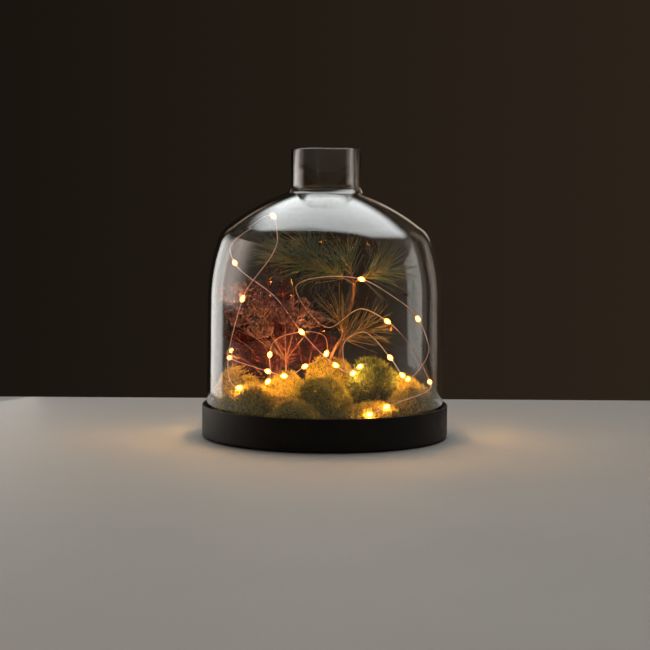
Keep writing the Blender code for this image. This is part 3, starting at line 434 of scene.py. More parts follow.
def lathed(name, profiles, sides, closed=False):
    """Shapes turned about Z from (radius, height) points. A closed profile is a ring, an open one gets two caps."""
    turn = np.arange(sides) * math.tau / sides
    points, faces = [], []
    for profile in profiles:
        first = len(points)
        points += [(r * math.cos(a), r * math.sin(a), z) for r, z in profile for a in turn]
        walls = tube_faces(len(profile), sides, first)
        if closed:
            last = first + (len(profile) - 1) * sides
            walls[-2:] = [
                (last + k, last + (k + 1) % sides, first + (k + 1) % sides, first + k) for k in range(sides)
            ]
        faces += walls
    made = object_from(name, points, faces)
    made.data.shade_smooth()
    return made


def hidden_library(name, shapes):
    """Keeps shapes to be copied out of the scene, in a collection of their own."""
    shelf = bpy.data.collections.new(name)
    for shape in shapes:
        shelf.objects.link(shape)
        bpy.context.scene.collection.objects.unlink(shape)
    return shelf


def drop_profile(length, radius, end):
    return [
        (radius * math.sin(math.pi * share) ** 0.8 + end * (1 - math.sin(math.pi * share)), length * (share - 0.5))
        for share in (0.0, 0.08, 0.2, 0.35, 0.5, 0.65, 0.8, 0.92, 1.0)
    ]


drop = lathed("drop", [
    drop_profile(DROP_LENGTH, DROP_RADIUS, 0.65 * MM), drop_profile(CORE_LENGTH, CORE_RADIUS, 0.62 * MM),
], 12)
half = len(drop.data.vertices) // 2
stored(drop.data, "core", [0.0] * half + [1.0] * half)
drops = hidden_library("drops", [drop])

# %% A drop at every lamp
sheet, given, end = recipe("drops on the wire", {"Drops": "Collection", "Material": "Material"})
turn = standing(sheet, attribute(sheet, "along", "FLOAT_VECTOR"))
drop_tree = end(coated(sheet, sown(sheet, given["Geometry"], given["Drops"], turn, (1, 1, 1)), given["Material"]))

along, _, _ = frames_along(wire_path)
lamp_rows = [i * POINTS_PER_SPAN for i, p in enumerate(ROUTE) if p[3]]
lamps = object_from("resin_lamps", wire_path[lamp_rows], [])
stored(lamps.data, "along", along[lamp_rows], "FLOAT_VECTOR")

LAMP_COLOUR = (1.0, 0.54, 0.18)
LAMP_GLOW = 480.0               # radiance of the cores, all of which their reflections have
DIRECT = 0.015                  # share of it that is seen of a core itself, or it would drown the amber rim
LAMP_POWER = 0.066              # watts of light from each lamp
BALL_RADIUS = DROP_RADIUS * 1.15


def lamp_pattern(sheet):
    core = sheet.carried("core")
    mirrored = sheet.add("ShaderNodeLightPath", out="Is Reflection Ray")
    chip = sheet.mix(mirrored, tuple(part * DIRECT for part in LAMP_COLOUR), LAMP_COLOUR)
    return {
        "Emission Color": sheet.mix(core, (0.0048, 0.0018, 0.0002), chip),
        "Alpha": 0.42 + core * 0.58,
    }


resin = finish_of(
    "lit_resin",
    {"Base Color": (0.9, 0.50, 0.15), "Roughness": 0.12, "Coat Weight": 1.0, "Emission Strength": LAMP_GLOW},
    lamp_pattern,
)
cooked(lamps, drop_tree, {"Drops": drops, "Material": resin})
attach(lamps, "base")
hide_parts(*(f"lamp_{k:02d}" for k in range(1, len(lamp_rows) + 1)))
print("lamps:", len(lamp_rows), "drops,", len(lamps.data.polygons), "faces")

# %% [markdown]
# The drops are what is seen glowing. What they throw on the moss comes from a small ball light round each of them,
# which the renderer samples far better than a few hundred tiny glowing faces.

# %% The light that the lamps throw
glow = bpy.data.lights.new("lamp_glow", "POINT")
glow.energy = LAMP_POWER
glow.color = LAMP_COLOUR
glow.shadow_soft_size = BALL_RADIUS
glow.use_soft_falloff = False
for place in wire_path[lamp_rows]:
    ball = in_scene("lamp_glow", glow)
    ball.location = place
    ball.visible_camera = ball.visible_glossy = ball.visible_transmission = False

# %% [markdown]
# ## Glass bell
# The bell is blown into a mould: an almost upright wall, a tight shoulder, a shallow crown and a short neck, all one
# wall of about 3.5 mm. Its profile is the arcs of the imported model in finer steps, turned about the axis with the
# inner wall offset square to it. A solid wall, and not a single surface, is what gives glass its dark edges.

# %% The bell's profile
FOOT_HEIGHT = 3.1 * MM
FOOT_RADIUS = 115.8 * MM
GLASS_WALL = 3.5 * MM
TAPER = 0.5
WALL_TOP = 135 * MM
ARCS = ((18.7, 182 * MM), (50.6, 30.7 * MM), (69.5, 195 * MM))
NECK_FILLET = 9.1 * MM
RIM_HEIGHT = 281 * MM


def bell_profile(steps=(10, 18, 12, 10)):
    """Outer (radius, height) points from the foot to the rim of the neck."""
    lean = math.radians(TAPER)
    r, z = FOOT_RADIUS - (WALL_TOP - FOOT_HEIGHT) * math.tan(lean), WALL_TOP
    points = [(FOOT_RADIUS, FOOT_HEIGHT), (r, z)]
    for (slope, radius), count in zip(ARCS, steps):
        stop = math.radians(slope)
        for k in range(1, count + 1):
            a = lean + (stop - lean) * k / count
            shift = radius * (math.cos(lean) - math.cos(a)), radius * (math.sin(a) - math.sin(lean))
            points.append((r - shift[0], z + shift[1]))
        (r, z), lean = points[-1], stop
    for k in range(1, steps[3] + 1):
        a = lean * (1 - k / steps[3])
        shift = NECK_FILLET * (math.cos(a) - math.cos(lean)), NECK_FILLET * (math.sin(lean) - math.sin(a))
        points.append((r - shift[0], z + shift[1]))
    return np.array(points + [(points[-1][0], RIM_HEIGHT - GLASS_WALL / 2)])


outer = bell_profile()
slope = np.gradient(outer, axis=0)
slope /= np.linalg.norm(slope, axis=1)[:, None]
inner = outer + GLASS_WALL * np.stack((-slope[:, 1], slope[:, 0]), axis=1)
inner[0] = (outer[0, 0] - GLASS_WALL, FOOT_HEIGHT)
inner[-1] = (outer[-1, 0] - GLASS_WALL, outer[-1, 1])
rim_angles = np.radians(np.linspace(0, 180, 9))[1:-1]
rim_middle = (outer[-1] + inner[-1]) / 2
rim = rim_middle + GLASS_WALL / 2 * np.stack((np.cos(rim_angles), np.sin(rim_angles)), 1)
bell = lathed("blown_glass_bell", [np.vstack((outer, rim, inner[::-1]))], 160, closed=True)
bell.data.set_sharp_from_angle(angle=math.radians(50))
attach(bell, "cloche")
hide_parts("glass_cloche")
print("bell:", len(bell.data.polygons), "faces")

# %% [markdown]
# Clear glass is a transmitting shader with a faint waviness from the mould. Lamps and bounced light pass it straight
# through the Transparent shader, by Light Path, because tracing each through two curved walls would leave the moss
# dark and full of noise. The eye still sees true refraction.

# %% Glass finish
glass = finish_of(
    "clear_blown_glass",
    {"Base Color": (0.985, 0.99, 0.985), "Roughness": 0.0, "IOR": 1.48, "Transmission Weight": 1.0},
    lambda sheet: {
        "Normal": sheet.bump(sheet.noise(16, 1.5, 0.4) + sheet.noise(55, 1, 0.4) * 0.12, 1.2 * MM, 0.22),
    },
)
sheet = Sheet(glass.node_tree)
shader = glass.node_tree.nodes["Principled BSDF"]
path = sheet.add("ShaderNodeLightPath", out="Is Shadow Ray")
passing = path.math("MAXIMUM", path, path["Is Diffuse Ray"])
clear = sheet.add("ShaderNodeBsdfTransparent", None, {"Color": (0.97, 0.98, 0.97, 1)})
both = sheet.add("ShaderNodeMixShader", None, {0: passing, 1: Value(sheet, shader.outputs[0]), 2: clear})
sheet.join(both, glass.node_tree.nodes["Material Output"].inputs["Surface"])
bell.data.materials.append(glass)


def points_of(mesh):
    points = np.empty(len(mesh.vertices) * 3)
    mesh.vertices.foreach_get("co", points)
    return points.reshape(-1, 3)


def move_points(mesh, points):
    mesh.vertices.foreach_set("co", points.ravel())
    mesh.update()


def keep_inside(piece, room=0.7 * MM):
    """Presses back what stands past the bell's inner wall, as moss flattens against glass."""
    points = points_of(piece.data)
    radius = np.hypot(points[:, 0], points[:, 1])
    limit = np.interp(points[:, 2], inner[:, 1], inner[:, 0]) - room
    past = radius > limit
    points[past, :2] *= (limit[past] / radius[past])[:, None]
    move_points(piece.data, points)
    return int(past.sum())


print("glass ready")

# %% [markdown]
# ## Tray
# A round tray of sheet metal with an upright wall and a rolled rim, powder coated in a near-black. It is turned again
# in fine steps, because its rim is seen from the side against the glow. The coat is finely pebbled, and a little paler
# and smoother in patches, where hands have rubbed it.

# %% Tray
TRAY_RADIUS = 120 * MM
TRAY_TOP = 32.2 * MM
TRAY_UNDER = 1.3 * MM
TRAY_SHEET = 1.5 * MM
TRAY_CORNER = 2.5 * MM


def arc(centre, radius, start, stop, steps):
    angles = [math.radians(start + (stop - start) * k / steps) for k in range(steps + 1)]
    return [(centre[0] + radius * math.cos(a), centre[1] + radius * math.sin(a)) for a in angles]


tray_profile = (
    [(0.5 * MM, TRAY_UNDER)]
    + arc((TRAY_RADIUS - TRAY_CORNER, TRAY_UNDER + TRAY_CORNER), TRAY_CORNER, -90, 0, 8)
    + arc((TRAY_RADIUS - TRAY_SHEET / 2, TRAY_TOP - TRAY_SHEET / 2), TRAY_SHEET / 2, 0, 180, 8)
    + arc((TRAY_RADIUS - TRAY_CORNER, TRAY_UNDER + TRAY_CORNER), TRAY_CORNER - TRAY_SHEET, 0, -90, 6)
    + [(0.5 * MM, TRAY_UNDER + TRAY_SHEET)]
)
tray = lathed("powder_coated_tray", [tray_profile], 200)
tray.data.set_sharp_from_angle(angle=math.radians(40))


def tray_pattern(sheet):
    pebbles = sheet.noise(1500, 2)
    rubbed = sheet.noise(22, 4, 0.7).between(0.45, 0.75)
    return {
        "Base Color": sheet.mix(rubbed, (0.0038, 0.0034, 0.0030), (0.0080, 0.0072, 0.0064)),
        "Roughness": 0.50 - rubbed * 0.10 + pebbles * 0.10,
        "Normal": sheet.bump(pebbles, 0.05 * MM, 0.5),
    }


coat = finish_of("black_powder_coat", {"Specular IOR Level": 0.30}, tray_pattern)
tray.data.materials.append(coat)
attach(tray, "base")
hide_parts("base_tray")
print("tray:", len(tray.data.polygons), "faces")

# %% [markdown]
# ## Moss
# Preserved reindeer moss grows as cushions of fine forked branches, pale at their tips. Each cushion starts from the
# packed dome, smoothed and roughened, and a Geometry Nodes tree sows thousands of small tufts over it, leaning a
# little upwards. A bump map alone would leave the outline smooth, and it is the outline that makes it moss.

# %% Tufts of moss
TUFT_REACH = 5.4 * MM
PRONG = 0.34 * MM               # half width of a prong at its root
THIRDS = [math.tau * k / 3 for k in range(3)]


def spike(parts, rings, shares, tip):
    """Adds a three-sided spike to lists of points, faces and heights from root to tip."""
    points, faces, heights = parts
    first = len(points)
    for ring, share in zip(rings, shares):
        points += ring
        heights += [share] * 3
    last = len(points)
    points.append(tip)
    heights.append(1.0)
    faces += tube_faces(len(rings), 3, first)[:-1] + [(last - 3 + k, last - 3 + (k + 1) % 3, last) for k in range(3)]


def tuft(name, number, prongs=5):
    """A spray of thin three-sided prongs that curl away from one root, with their height stored from root to tip."""
    rng = np.random.default_rng(SEED + number)
    parts = [], [], []
    for _ in range(prongs):
        heading = Vector((rng.uniform(-1, 1), rng.uniform(-1, 1), rng.uniform(0.7, 2.0))).normalized()
        aside = heading.orthogonal().normalized()
        other = heading.cross(aside)
        curl = (aside * rng.uniform(-1, 1) + other * rng.uniform(-1, 1)) * 0.45
        root = Vector((rng.uniform(-1, 1), rng.uniform(-1, 1), -1.0)) * 0.7 * MM
        reach = TUFT_REACH * rng.uniform(0.5, 1.1)
        rings = []
        for share, half in ((0, PRONG), (0.55, PRONG * 0.75)):
            middle = root + (heading * share + curl * share * share) * reach
            rings.append([middle + (aside * math.cos(a) + other * math.sin(a)) * half for a in THIRDS])
        spike(parts, rings, (0, 0.55), root + (heading + curl) * reach)
    made = object_from(name, parts[0], parts[1])
    stored(made.data, "tip", parts[2])
    return made


tufts = hidden_library("tufts", [tuft(f"tuft_{k}", k) for k in range(5)])

sheet, given, end = recipe("moss cover", {
    "Tufts": "Collection", "Spacing": "Float", "Above": "Float", "Upward": "Float", "Seed": "Int",
    "Material": "Material",
})
height = sheet.part(sheet.add("GeometryNodeInputPosition"), "Z")
roots = strewn(sheet, given["Geometry"], given["Spacing"], 1.4, {
    "Selection": greater(sheet, height, given["Above"]), "Seed": given["Seed"],
})
lean = sheet.add("ShaderNodeVectorMath", {"operation": "ADD"}, {0: roots["Normal"], 1: sheet.vector(Z=given["Upward"])})
loose = spun(sheet, standing(sheet, lean), random_vector(sheet, (-0.35, -0.35, 0), (0.35, 0.35, math.tau)))
cover = sown(sheet, roots, given["Tufts"], loose, random_number(sheet, 0.6, 1.35, SEED + 1))
moss_tree = end(coated(sheet, joined(sheet, given["Geometry"], cover), given["Material"]))
print("moss cover:", len(moss_tree.nodes), "nodes")

# %% Moss finishes


def moss_finish(name, root, tip, pale):
    def pattern(sheet):
        up = sheet.carried("tip")
        patches = sheet.noise(55, 3).between(0.38, 0.64)
        specks = sheet.noise(700, 2).between(0.45, 0.70)
        grown = sheet.mix(patches, tip, pale)
        # The root colour is painted shade: each tuft darkens towards its root, standing in for the shadow deep in the
        # cushion, under the pale tips that the moss has.
        shaded = sheet.mix(0.10 + up * 0.90, root, grown)
        return {"Base Color": sheet.mix(specks * 0.35, shaded, pale)}

    return finish_of(name, {"Roughness": 0.9, "Specular IOR Level": 0.2}, pattern)


# The first colour of each moss is the painted shade at the roots of its tufts
golden_moss = moss_finish("golden_moss", (0.055, 0.040, 0.006), (0.66, 0.50, 0.055), (0.86, 0.66, 0.12))
green_moss = moss_finish("green_moss", (0.045, 0.040, 0.006), (0.58, 0.50, 0.050), (0.80, 0.66, 0.10))
ball_moss = moss_finish("deep_green_moss", (0.020, 0.024, 0.004), (0.14, 0.170, 0.022), (0.29, 0.29, 0.05))
# The bed under the cushions gets a darker copy of the cushion moss: painted shade for the low layer beneath them
shaded_bed_moss = moss_finish("shaded_moss", (0.04, 0.03, 0.006), (0.34, 0.28, 0.05), (0.50, 0.40, 0.09))
print("moss finishes ready")

# %% Cushions
CUSHIONS = dict.fromkeys((
    "back_left", "back_centre", "back_right", "far_right", "middle_left", "front_left", "front_low", "front_centre",
    "right_ball", "front_right", "right_low",
), golden_moss)
CUSHIONS.update(front_centre=green_moss, right_ball=ball_moss)
MOSS_SPACING = 1.7 * MM
BED_SPACING = 3.2 * MM
BED_TOP = 22.1 * MM
SAME_POINT = 0.01 * MM


def mended(mesh, mend):
    """Edits a mesh in place."""
    bm = bmesh.new()
    bm.from_mesh(mesh)
    mend(bm)
    bm.to_mesh(mesh)
    bm.free()


def plain_copy(name, node):
    """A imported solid's mesh as an object of its own, with its loose triangles joined."""
    made = in_scene(name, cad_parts[node].data.copy())
    made.data.materials.clear()
    mended(made.data, lambda bm: bmesh.ops.remove_doubles(bm, verts=bm.verts, dist=SAME_POINT))
    return made


def roughened(obj, depth, size):
    """Moves each point along its normal by two sizes of noise."""
    mesh = obj.data
    for v, normal in zip(mesh.vertices, [Vector(n.vector) for n in mesh.vertex_normals]):
        coarse = noise.noise(v.co / size)
        fine = noise.noise(v.co / (size * 0.4) + Vector((5, 3, 1)))
        v.co += normal * depth * (coarse + 0.5 * fine)
    mesh.update()


print("cushions to make:", len(CUSHIONS))

# %% Moss keeps clear of the battery box
COVER_TRAVEL = 56 * MM          # how far the battery cover slides off
FLOOR_ROOM = 0.2 * MM
box_points = points_of(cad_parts["box_shell"].data)
box_low, box_high = box_points.min(axis=0), box_points.max(axis=0)


def keep_clear(piece, room=1.0 * MM):
    """Trims moss back from the battery box and from the way of its cover, and rests it on the tray's floor."""
    points = points_of(piece.data)
    sides = np.stack((
        points[:, 1] - box_low[1] + room, points[:, 0] - box_low[0] + room,
        box_high[0] + COVER_TRAVEL + room - points[:, 0],
    ), axis=1)
    blocked = (sides > 0).all(axis=1)
    nearest = sides.argmin(axis=1)
    for side, (axis, way) in enumerate(((1, -1), (0, -1), (0, 1))):
        rows = blocked & (nearest == side)
        points[rows, axis] += way * sides[rows, side]
    points[:, 2] = np.maximum(points[:, 2], TRAY_UNDER + TRAY_SHEET + FLOOR_ROOM)
    move_points(piece.data, points)
    return int(blocked.sum())


print("battery box, mm:", np.round((box_high - box_low) / MM, 1).tolist())

# %% Moss on each packed cushion
MOSS_VOXEL = 2.4 * MM
MOSS_DEPTH = 4.4 * MM           # how far its surface is moved in and out
MOSS_LUMP = 14 * MM             # across one lump
MOSS_UPWARD = 0.55              # how much the tufts reach for the light


def mossy(name, node, finish, spacing, above, seed):
    made = plain_copy(name, node)
    remesh = made.modifiers.new("even", "REMESH")
    remesh.mode, remesh.voxel_size, remesh.use_smooth_shade = "VOXEL", MOSS_VOXEL, True
    relax = made.modifiers.new("relax", "SMOOTH")
    relax.factor, relax.iterations = 0.5, 5
    applied(made)
    roughened(made, MOSS_DEPTH, MOSS_LUMP)
    cooked(made, moss_tree, {
        "Tufts": tufts, "Spacing": spacing, "Above": above, "Upward": MOSS_UPWARD, "Seed": seed, "Material": finish,
    })
    pressed = keep_inside(made), keep_clear(made)
    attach(made, "base")
    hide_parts(node)
    print(f"{name}: {len(made.data.polygons)} faces, {pressed} points pressed by the glass and trimmed at the box")


for number, (name, finish) in enumerate(CUSHIONS.items()):
    mossy("cushion_" + name, "moss_" + name, finish, MOSS_SPACING, BED_TOP + 1.5 * MM, SEED + number)
mossy("moss_layer", "moss_bed", shaded_bed_moss, BED_SPACING, BED_TOP - 4 * MM, SEED + 20)

# %% [markdown]
# ## Stems and what grows on them
# Pine, fern and umbel all are stems with something repeated along or on them. Stems go into one mesh of edges per
# plant, with a thickness stored at each point, and a tree turns them to tubes and sets needles, leaflets or florets on
# them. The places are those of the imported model, with more twigs where the photograph is denser.

# %% Lines for stems


def stems_from(name, lines):
    """One mesh of edges. Each line has a path and two radii in mm, and may have steps, what clads it and its side."""
    points, edges, thick, clad, side = [], [], [], [], []
    for line in lines:
        path = smooth([np.array(p, float) * MM for p in line["path"]], line.get("steps", 6))
        first = len(points)
        count = len(path)
        share = np.linspace(0, 1, count)
        points += path.tolist()
        edges += [(first + k, first + k + 1) for k in range(count - 1)]
        r0, r1 = line["radii"]
        thick += ((r0 + (r1 - r0) * share) * MM).tolist()
        clad += line["clad"](share).tolist() if "clad" in line else [0.0] * count
        side += [line.get("side", (1, 0, 0))] * count
    made = object_from(name, points, [], edges)
    stored(made.data, "thick", thick)
    stored(made.data, "clad", clad)
    stored(made.data, "side", side, "FLOAT_VECTOR")
    return made


def tubes_of(sheet, lines, finish, sides):
    """The stems themselves, as tubes of their stored thickness."""
    size = {"Resolution": sides, "Radius": 1.0}
    circle = sheet.add("GeometryNodeCurvePrimitiveCircle", {"mode": "RADIUS"}, size)
    sockets = {"Curve": lines, "Profile Curve": circle, "Scale": attribute(sheet, "thick"), "Fill Caps": True}
    return coated(sheet, sheet.add("GeometryNodeCurveToMesh", None, sockets), finish)


def stems_and_stations(sheet, given, finish, sides):
    """A plant's stems as tubes, and points along them at the given step."""
    lines = sheet.add("GeometryNodeMeshToCurve", None, {0: given["Geometry"]})
    sockets = {"Curve": lines, "Length": given["Step"]}
    return (
        tubes_of(sheet, lines, finish, sides),
        sheet.add("GeometryNodeCurveToPoints", {"mode": "LENGTH"}, sockets),
    )


print("stems ready")

# %% [markdown]
# ## Pine
# Needles stand in pairs round a twig, at an even turn from one pair to the next, as leaves on most plants do. The tree
# turns each pair by the golden angle and leans it forward. A needle has three sides and four steps, slightly curved.

# %% Pair of needles
NEEDLE = 40 * MM
NEEDLE_HALF = 0.42 * MM
GOLDEN_ANGLE = 2.39996


def needle_pair(name, number):
    rng = np.random.default_rng(SEED + 40 + number)
    parts = [], [], []
    shares = (0, 0.3, 0.65, 0.93)
    for aside in (-1, 1):
        spread = aside * rng.uniform(0.05, 0.14)
        curl = rng.uniform(-0.10, 0.16)
        reach = NEEDLE * rng.uniform(0.82, 1.05)
        rings = []
        for share in shares:
            middle = Vector((spread * share, curl * share * share, share)) * reach
            half = NEEDLE_HALF * (1 - 0.45 * share)
            rings.append([middle + Vector((math.cos(a), math.sin(a), 0)) * half for a in THIRDS])
        spike(parts, rings, shares, Vector((spread, curl, 1)) * reach)
    made = object_from(name, parts[0], parts[1])
    made.data.shade_smooth()
    stored(made.data, "tip", parts[2])
    return made


pairs = hidden_library("needle_pairs", [needle_pair(f"needles_{k}", k) for k in range(4)])

sheet, given, end = recipe("needled twigs", {
    "Needles": "Collection", "Step": "Float", "Lean": "Float", "Bark": "Material", "Green": "Material",
})
wood, stations = stems_and_stations(sheet, given, given["Bark"], 7)
whorl = sheet.add("GeometryNodeInputIndex") * GOLDEN_ANGLE
axes = turned_to(sheet, stations["Tangent"], stations["Normal"])
turned_round = spun(sheet, axes, sheet.vector(Z=whorl))
leaning = given["Lean"] + random_number(sheet, -0.35, 0.35, SEED + 2)
tilted = spun(sheet, turned_round, sheet.vector(X=leaning))
loose = spun(sheet, tilted, random_vector(sheet, (-0.1, -0.15, 0), (0.1, 0.15, math.tau), SEED + 3))
clothed = greater(sheet, attribute(sheet, "clad"), random_number(sheet, 0.0, 1.0, SEED + 4))
needles = sown(sheet, stations, given["Needles"], loose, random_number(sheet, 0.8, 1.08, SEED + 5), clothed)
pine_tree = end(joined(sheet, wood, coated(sheet, needles, given["Green"])))

# %% Bark and needle finishes


def bark_pattern(sheet):
    ridges = sheet.noise(260, 4, 0.65)
    return {
        "Base Color": sheet.mix(ridges.between(0.35, 0.65), (0.06, 0.026, 0.013), (0.19, 0.095, 0.042)),
        "Roughness": 0.75 + ridges * 0.2,
        "Normal": sheet.bump(ridges, 0.4 * MM, 0.8),
    }


def needle_finish(name, root, body, dry):
    def pattern(sheet):
        up = sheet.carried("tip")
        dried = sheet.noise(38, 2).between(0.50, 0.68)
        fresh = sheet.mix(up.between(0.0, 0.25), root, body)
        stripes = sheet.noise(500, 1)
        return {
            "Base Color": sheet.mix(dried * 0.8, fresh, dry),
            "Roughness": 0.42 + stripes * 0.2,
        }

    return finish_of(name, {"Specular IOR Level": 0.5}, pattern)


bark = finish_of("pine_bark", {}, bark_pattern)
pine_green = needle_finish("pine_needles", (0.24, 0.18, 0.07), (0.048, 0.078, 0.042), (0.16, 0.115, 0.04))
pine_dry = needle_finish("dry_pine_needles", (0.14, 0.060, 0.018), (0.080, 0.060, 0.020), (0.20, 0.09, 0.028))

# %% Pine branches


def on_from(share):
    """Clad from this share of a twig's length on."""
    return lambda along: (along >= share).astype(float)


PINE_TOP = [
    {"path": ((12, 19, 38), (15.5, 17.5, 82), (22, 14, 114), (28, 10, 144), (28, 8, 152)), "radii": (2.0, 1.4)},
    {"path": ((27, 9, 150), (8, 6, 161), (-26, 4, 172), (-44, 8, 176)), "radii": (1.3, 0.7), "clad": on_from(0.12)},
    {"path": ((28, 8, 151), (24, 14, 162), (20, 20, 174)), "radii": (1.2, 0.8), "clad": on_from(0.2)},
    {"path": ((28, 8, 151), (40, 8, 156), (58, 6, 163)), "radii": (1.2, 0.7), "clad": on_from(0.2)},
    {"path": ((2, 6, 163), (-12, 12, 176), (-22, 18, 184)), "radii": (1.0, 0.7), "clad": on_from(0.2)},
]
PINE_LOW = [
    {"path": ((-1, 6, 40), (7, 4.5, 80), (12, 4, 90), (16, 2, 95)), "radii": (2.0, 1.5)},
    {"path": ((15, 2, 94), (24, 2, 98), (40, 2, 106)), "radii": (1.2, 0.7), "clad": on_from(0.0)},
    {"path": ((15, 2, 94), (18, 6, 104), (14, 10, 116)), "radii": (1.1, 0.7), "clad": on_from(0.1)},
]


def branch(name, node, lines, green, step, lean):
    made = stems_from(name, lines)
    cooked(made, pine_tree, {"Needles": pairs, "Step": step, "Lean": lean, "Bark": bark, "Green": green})
    keep_inside(made)
    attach(made, "base")
    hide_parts(node)
    print(f"{name}: {len(made.data.polygons)} faces")


branch("pine_spray", "pine_branch_top", PINE_TOP, pine_green, 0.70 * MM, 0.66)
branch("pine_fan", "pine_branch_low", PINE_LOW, pine_dry, 0.80 * MM, 0.62)

# %% [markdown]
# ## Ferns
# A frond is a midrib with leaflets in pairs, and each leaflet has lobes of its own. A leaflet is a closed sheet with a
# raised rib and a lobed edge, in three versions for each side, and a tree sets them along the midrib, growing and then
# shrinking towards the tip. The fronds were dyed a deep red and then dried, so their edges curl.

# %% Lobed leaflets
LEAFLET = 24 * MM
LEAFLET_LEAN = math.radians(62)
SMALLEST_LEAFLET = 0.08         # share of the full length below which none grows


def leaflet(name, hand, number, lobes=7):
    """A lobed leaflet in the XZ plane, leaning forward along Z, on one side of the midrib."""
    rng = np.random.default_rng(SEED + 70 + number)
    rib, edge_out, edge_in = [], [], []
    for k in range(lobes * 2 + 1):
        share = k / (lobes * 2)
        width = 0.17 * (1 - share) ** 0.8 * min(1, 0.55 + share * 3) + 0.006
        lobe = width * (1.0 if k % 2 else 0.45) * rng.uniform(0.85, 1.15)
        sag = -0.10 * share**2 + 0.02 * math.sin(share * 9)
        rib.append((share, 0, sag + 0.008))
        edge_out.append((share + (0.035 if k % 2 else 0), lobe, sag - 0.22 * lobe))
        edge_in.append((share + (0.035 if k % 2 else 0), -lobe, sag - 0.22 * lobe))
    count = len(rib)
    under = [(a, b, c - 0.020) for a, b, c in rib]
    flat = rib + edge_out + under + edge_in
    out = Vector((math.sin(LEAFLET_LEAN) * hand, 0, math.cos(LEAFLET_LEAN)))
    wide = Vector((-math.cos(LEAFLET_LEAN) * hand, 0, math.sin(LEAFLET_LEAN)))
    points = [(out * a + wide * b + Vector((0, c, 0))) * LEAFLET for a, b, c in flat]
    faces = tube_faces(4, count)[:-2]
    faces += [(3 * count + k, 3 * count + k + 1, k + 1, k) for k in range(count - 1)]
    faces = [f for f in faces if not (f[0] % count == count - 1 and f[1] % count == 0)]
    faces += [(0, count, 2 * count, 3 * count), (count - 1, 4 * count - 1, 3 * count - 1, 2 * count - 1)]
    made = object_from(name, points, faces)
    mended(made.data, lambda bm: bmesh.ops.recalc_face_normals(bm, faces=bm.faces))
    stored(made.data, "tip", [a for a, _, _ in flat])
    return made


right_leaflets = hidden_library("right_leaflets", [leaflet(f"right_leaflet_{k}", 1, k) for k in range(3)])
left_leaflets = hidden_library("left_leaflets", [leaflet(f"left_leaflet_{k}", -1, k + 5) for k in range(3)])

sheet, given, end = recipe("fern fronds", {
    "Right": "Collection", "Left": "Collection", "Step": "Float", "Rib": "Material", "Leaf": "Material",
})
ribs, stations = stems_and_stations(sheet, given, given["Rib"], 5)
axes = turned_to(sheet, stations["Tangent"], attribute(sheet, "side", "FLOAT_VECTOR"))
parts = [ribs]
for k, hand in enumerate(("Right", "Left")):
    loose = spun(sheet, axes, random_vector(sheet, (-0.30, -0.22, -0.35), (0.30, 0.22, 0.35), SEED + 6 + k))
    length = attribute(sheet, "clad") * random_number(sheet, 0.85, 1.12, SEED + 8 + k)
    leaflets = sown(sheet, stations, given[hand], loose, length, greater(sheet, length, SMALLEST_LEAFLET))
    parts.append(coated(sheet, leaflets, given["Leaf"]))
fern_tree = end(joined(sheet, *parts))

# %% Fern finishes


def fern_finish(name, body, shaded, lit_tip_highlight):
    def pattern(sheet):
        out = sheet.carried("tip")
        patches = sheet.noise(70, 3).between(0.40, 0.62)
        veins = sheet.noise(900, 2)
        return {
            # The outer part of each leaflet, towards its tip, is mixed to a brighter red: a painted highlight of
            # lamplight on the tips.
            "Base Color": sheet.mix(out.between(0.60, 1.0) * 0.6, sheet.mix(patches, body, shaded), lit_tip_highlight),
            "Roughness": 0.55 + veins * 0.25,
            "Normal": sheet.bump(veins, 0.15 * MM, 0.5),
        }

    return finish_of(name, {"Specular IOR Level": 0.15}, pattern)


# The last colour of each fern is the painted highlight on its leaflet tips
fern_red = fern_finish("dyed_fern", (0.022, 0.0018, 0.0016), (0.007, 0.0012, 0.0012), (0.15, 0.026, 0.011))
fern_plum = fern_finish("faded_fern", (0.080, 0.016, 0.022), (0.032, 0.007, 0.010), (0.16, 0.050, 0.050))
rib_red = finish_of("fern_midrib", {"Roughness": 0.6}, lambda sheet: {
    "Base Color": sheet.mix(sheet.noise(200, 3).between(0.4, 0.6), (0.07, 0.012, 0.007), (0.11, 0.030, 0.015)),
})

# %% Fronds


def frond_shape(bare, size):
    """Leaflet length along a frond: none on the stalk, longest a third of the way up, none at the tip."""
    def at(share):
        s = np.clip((share - bare) / (1 - bare), 0, 1)
        return np.where(share < bare, 0, size * np.minimum(1, 0.5 + s * 2.2) * (1 - s) ** 0.7)
    return at


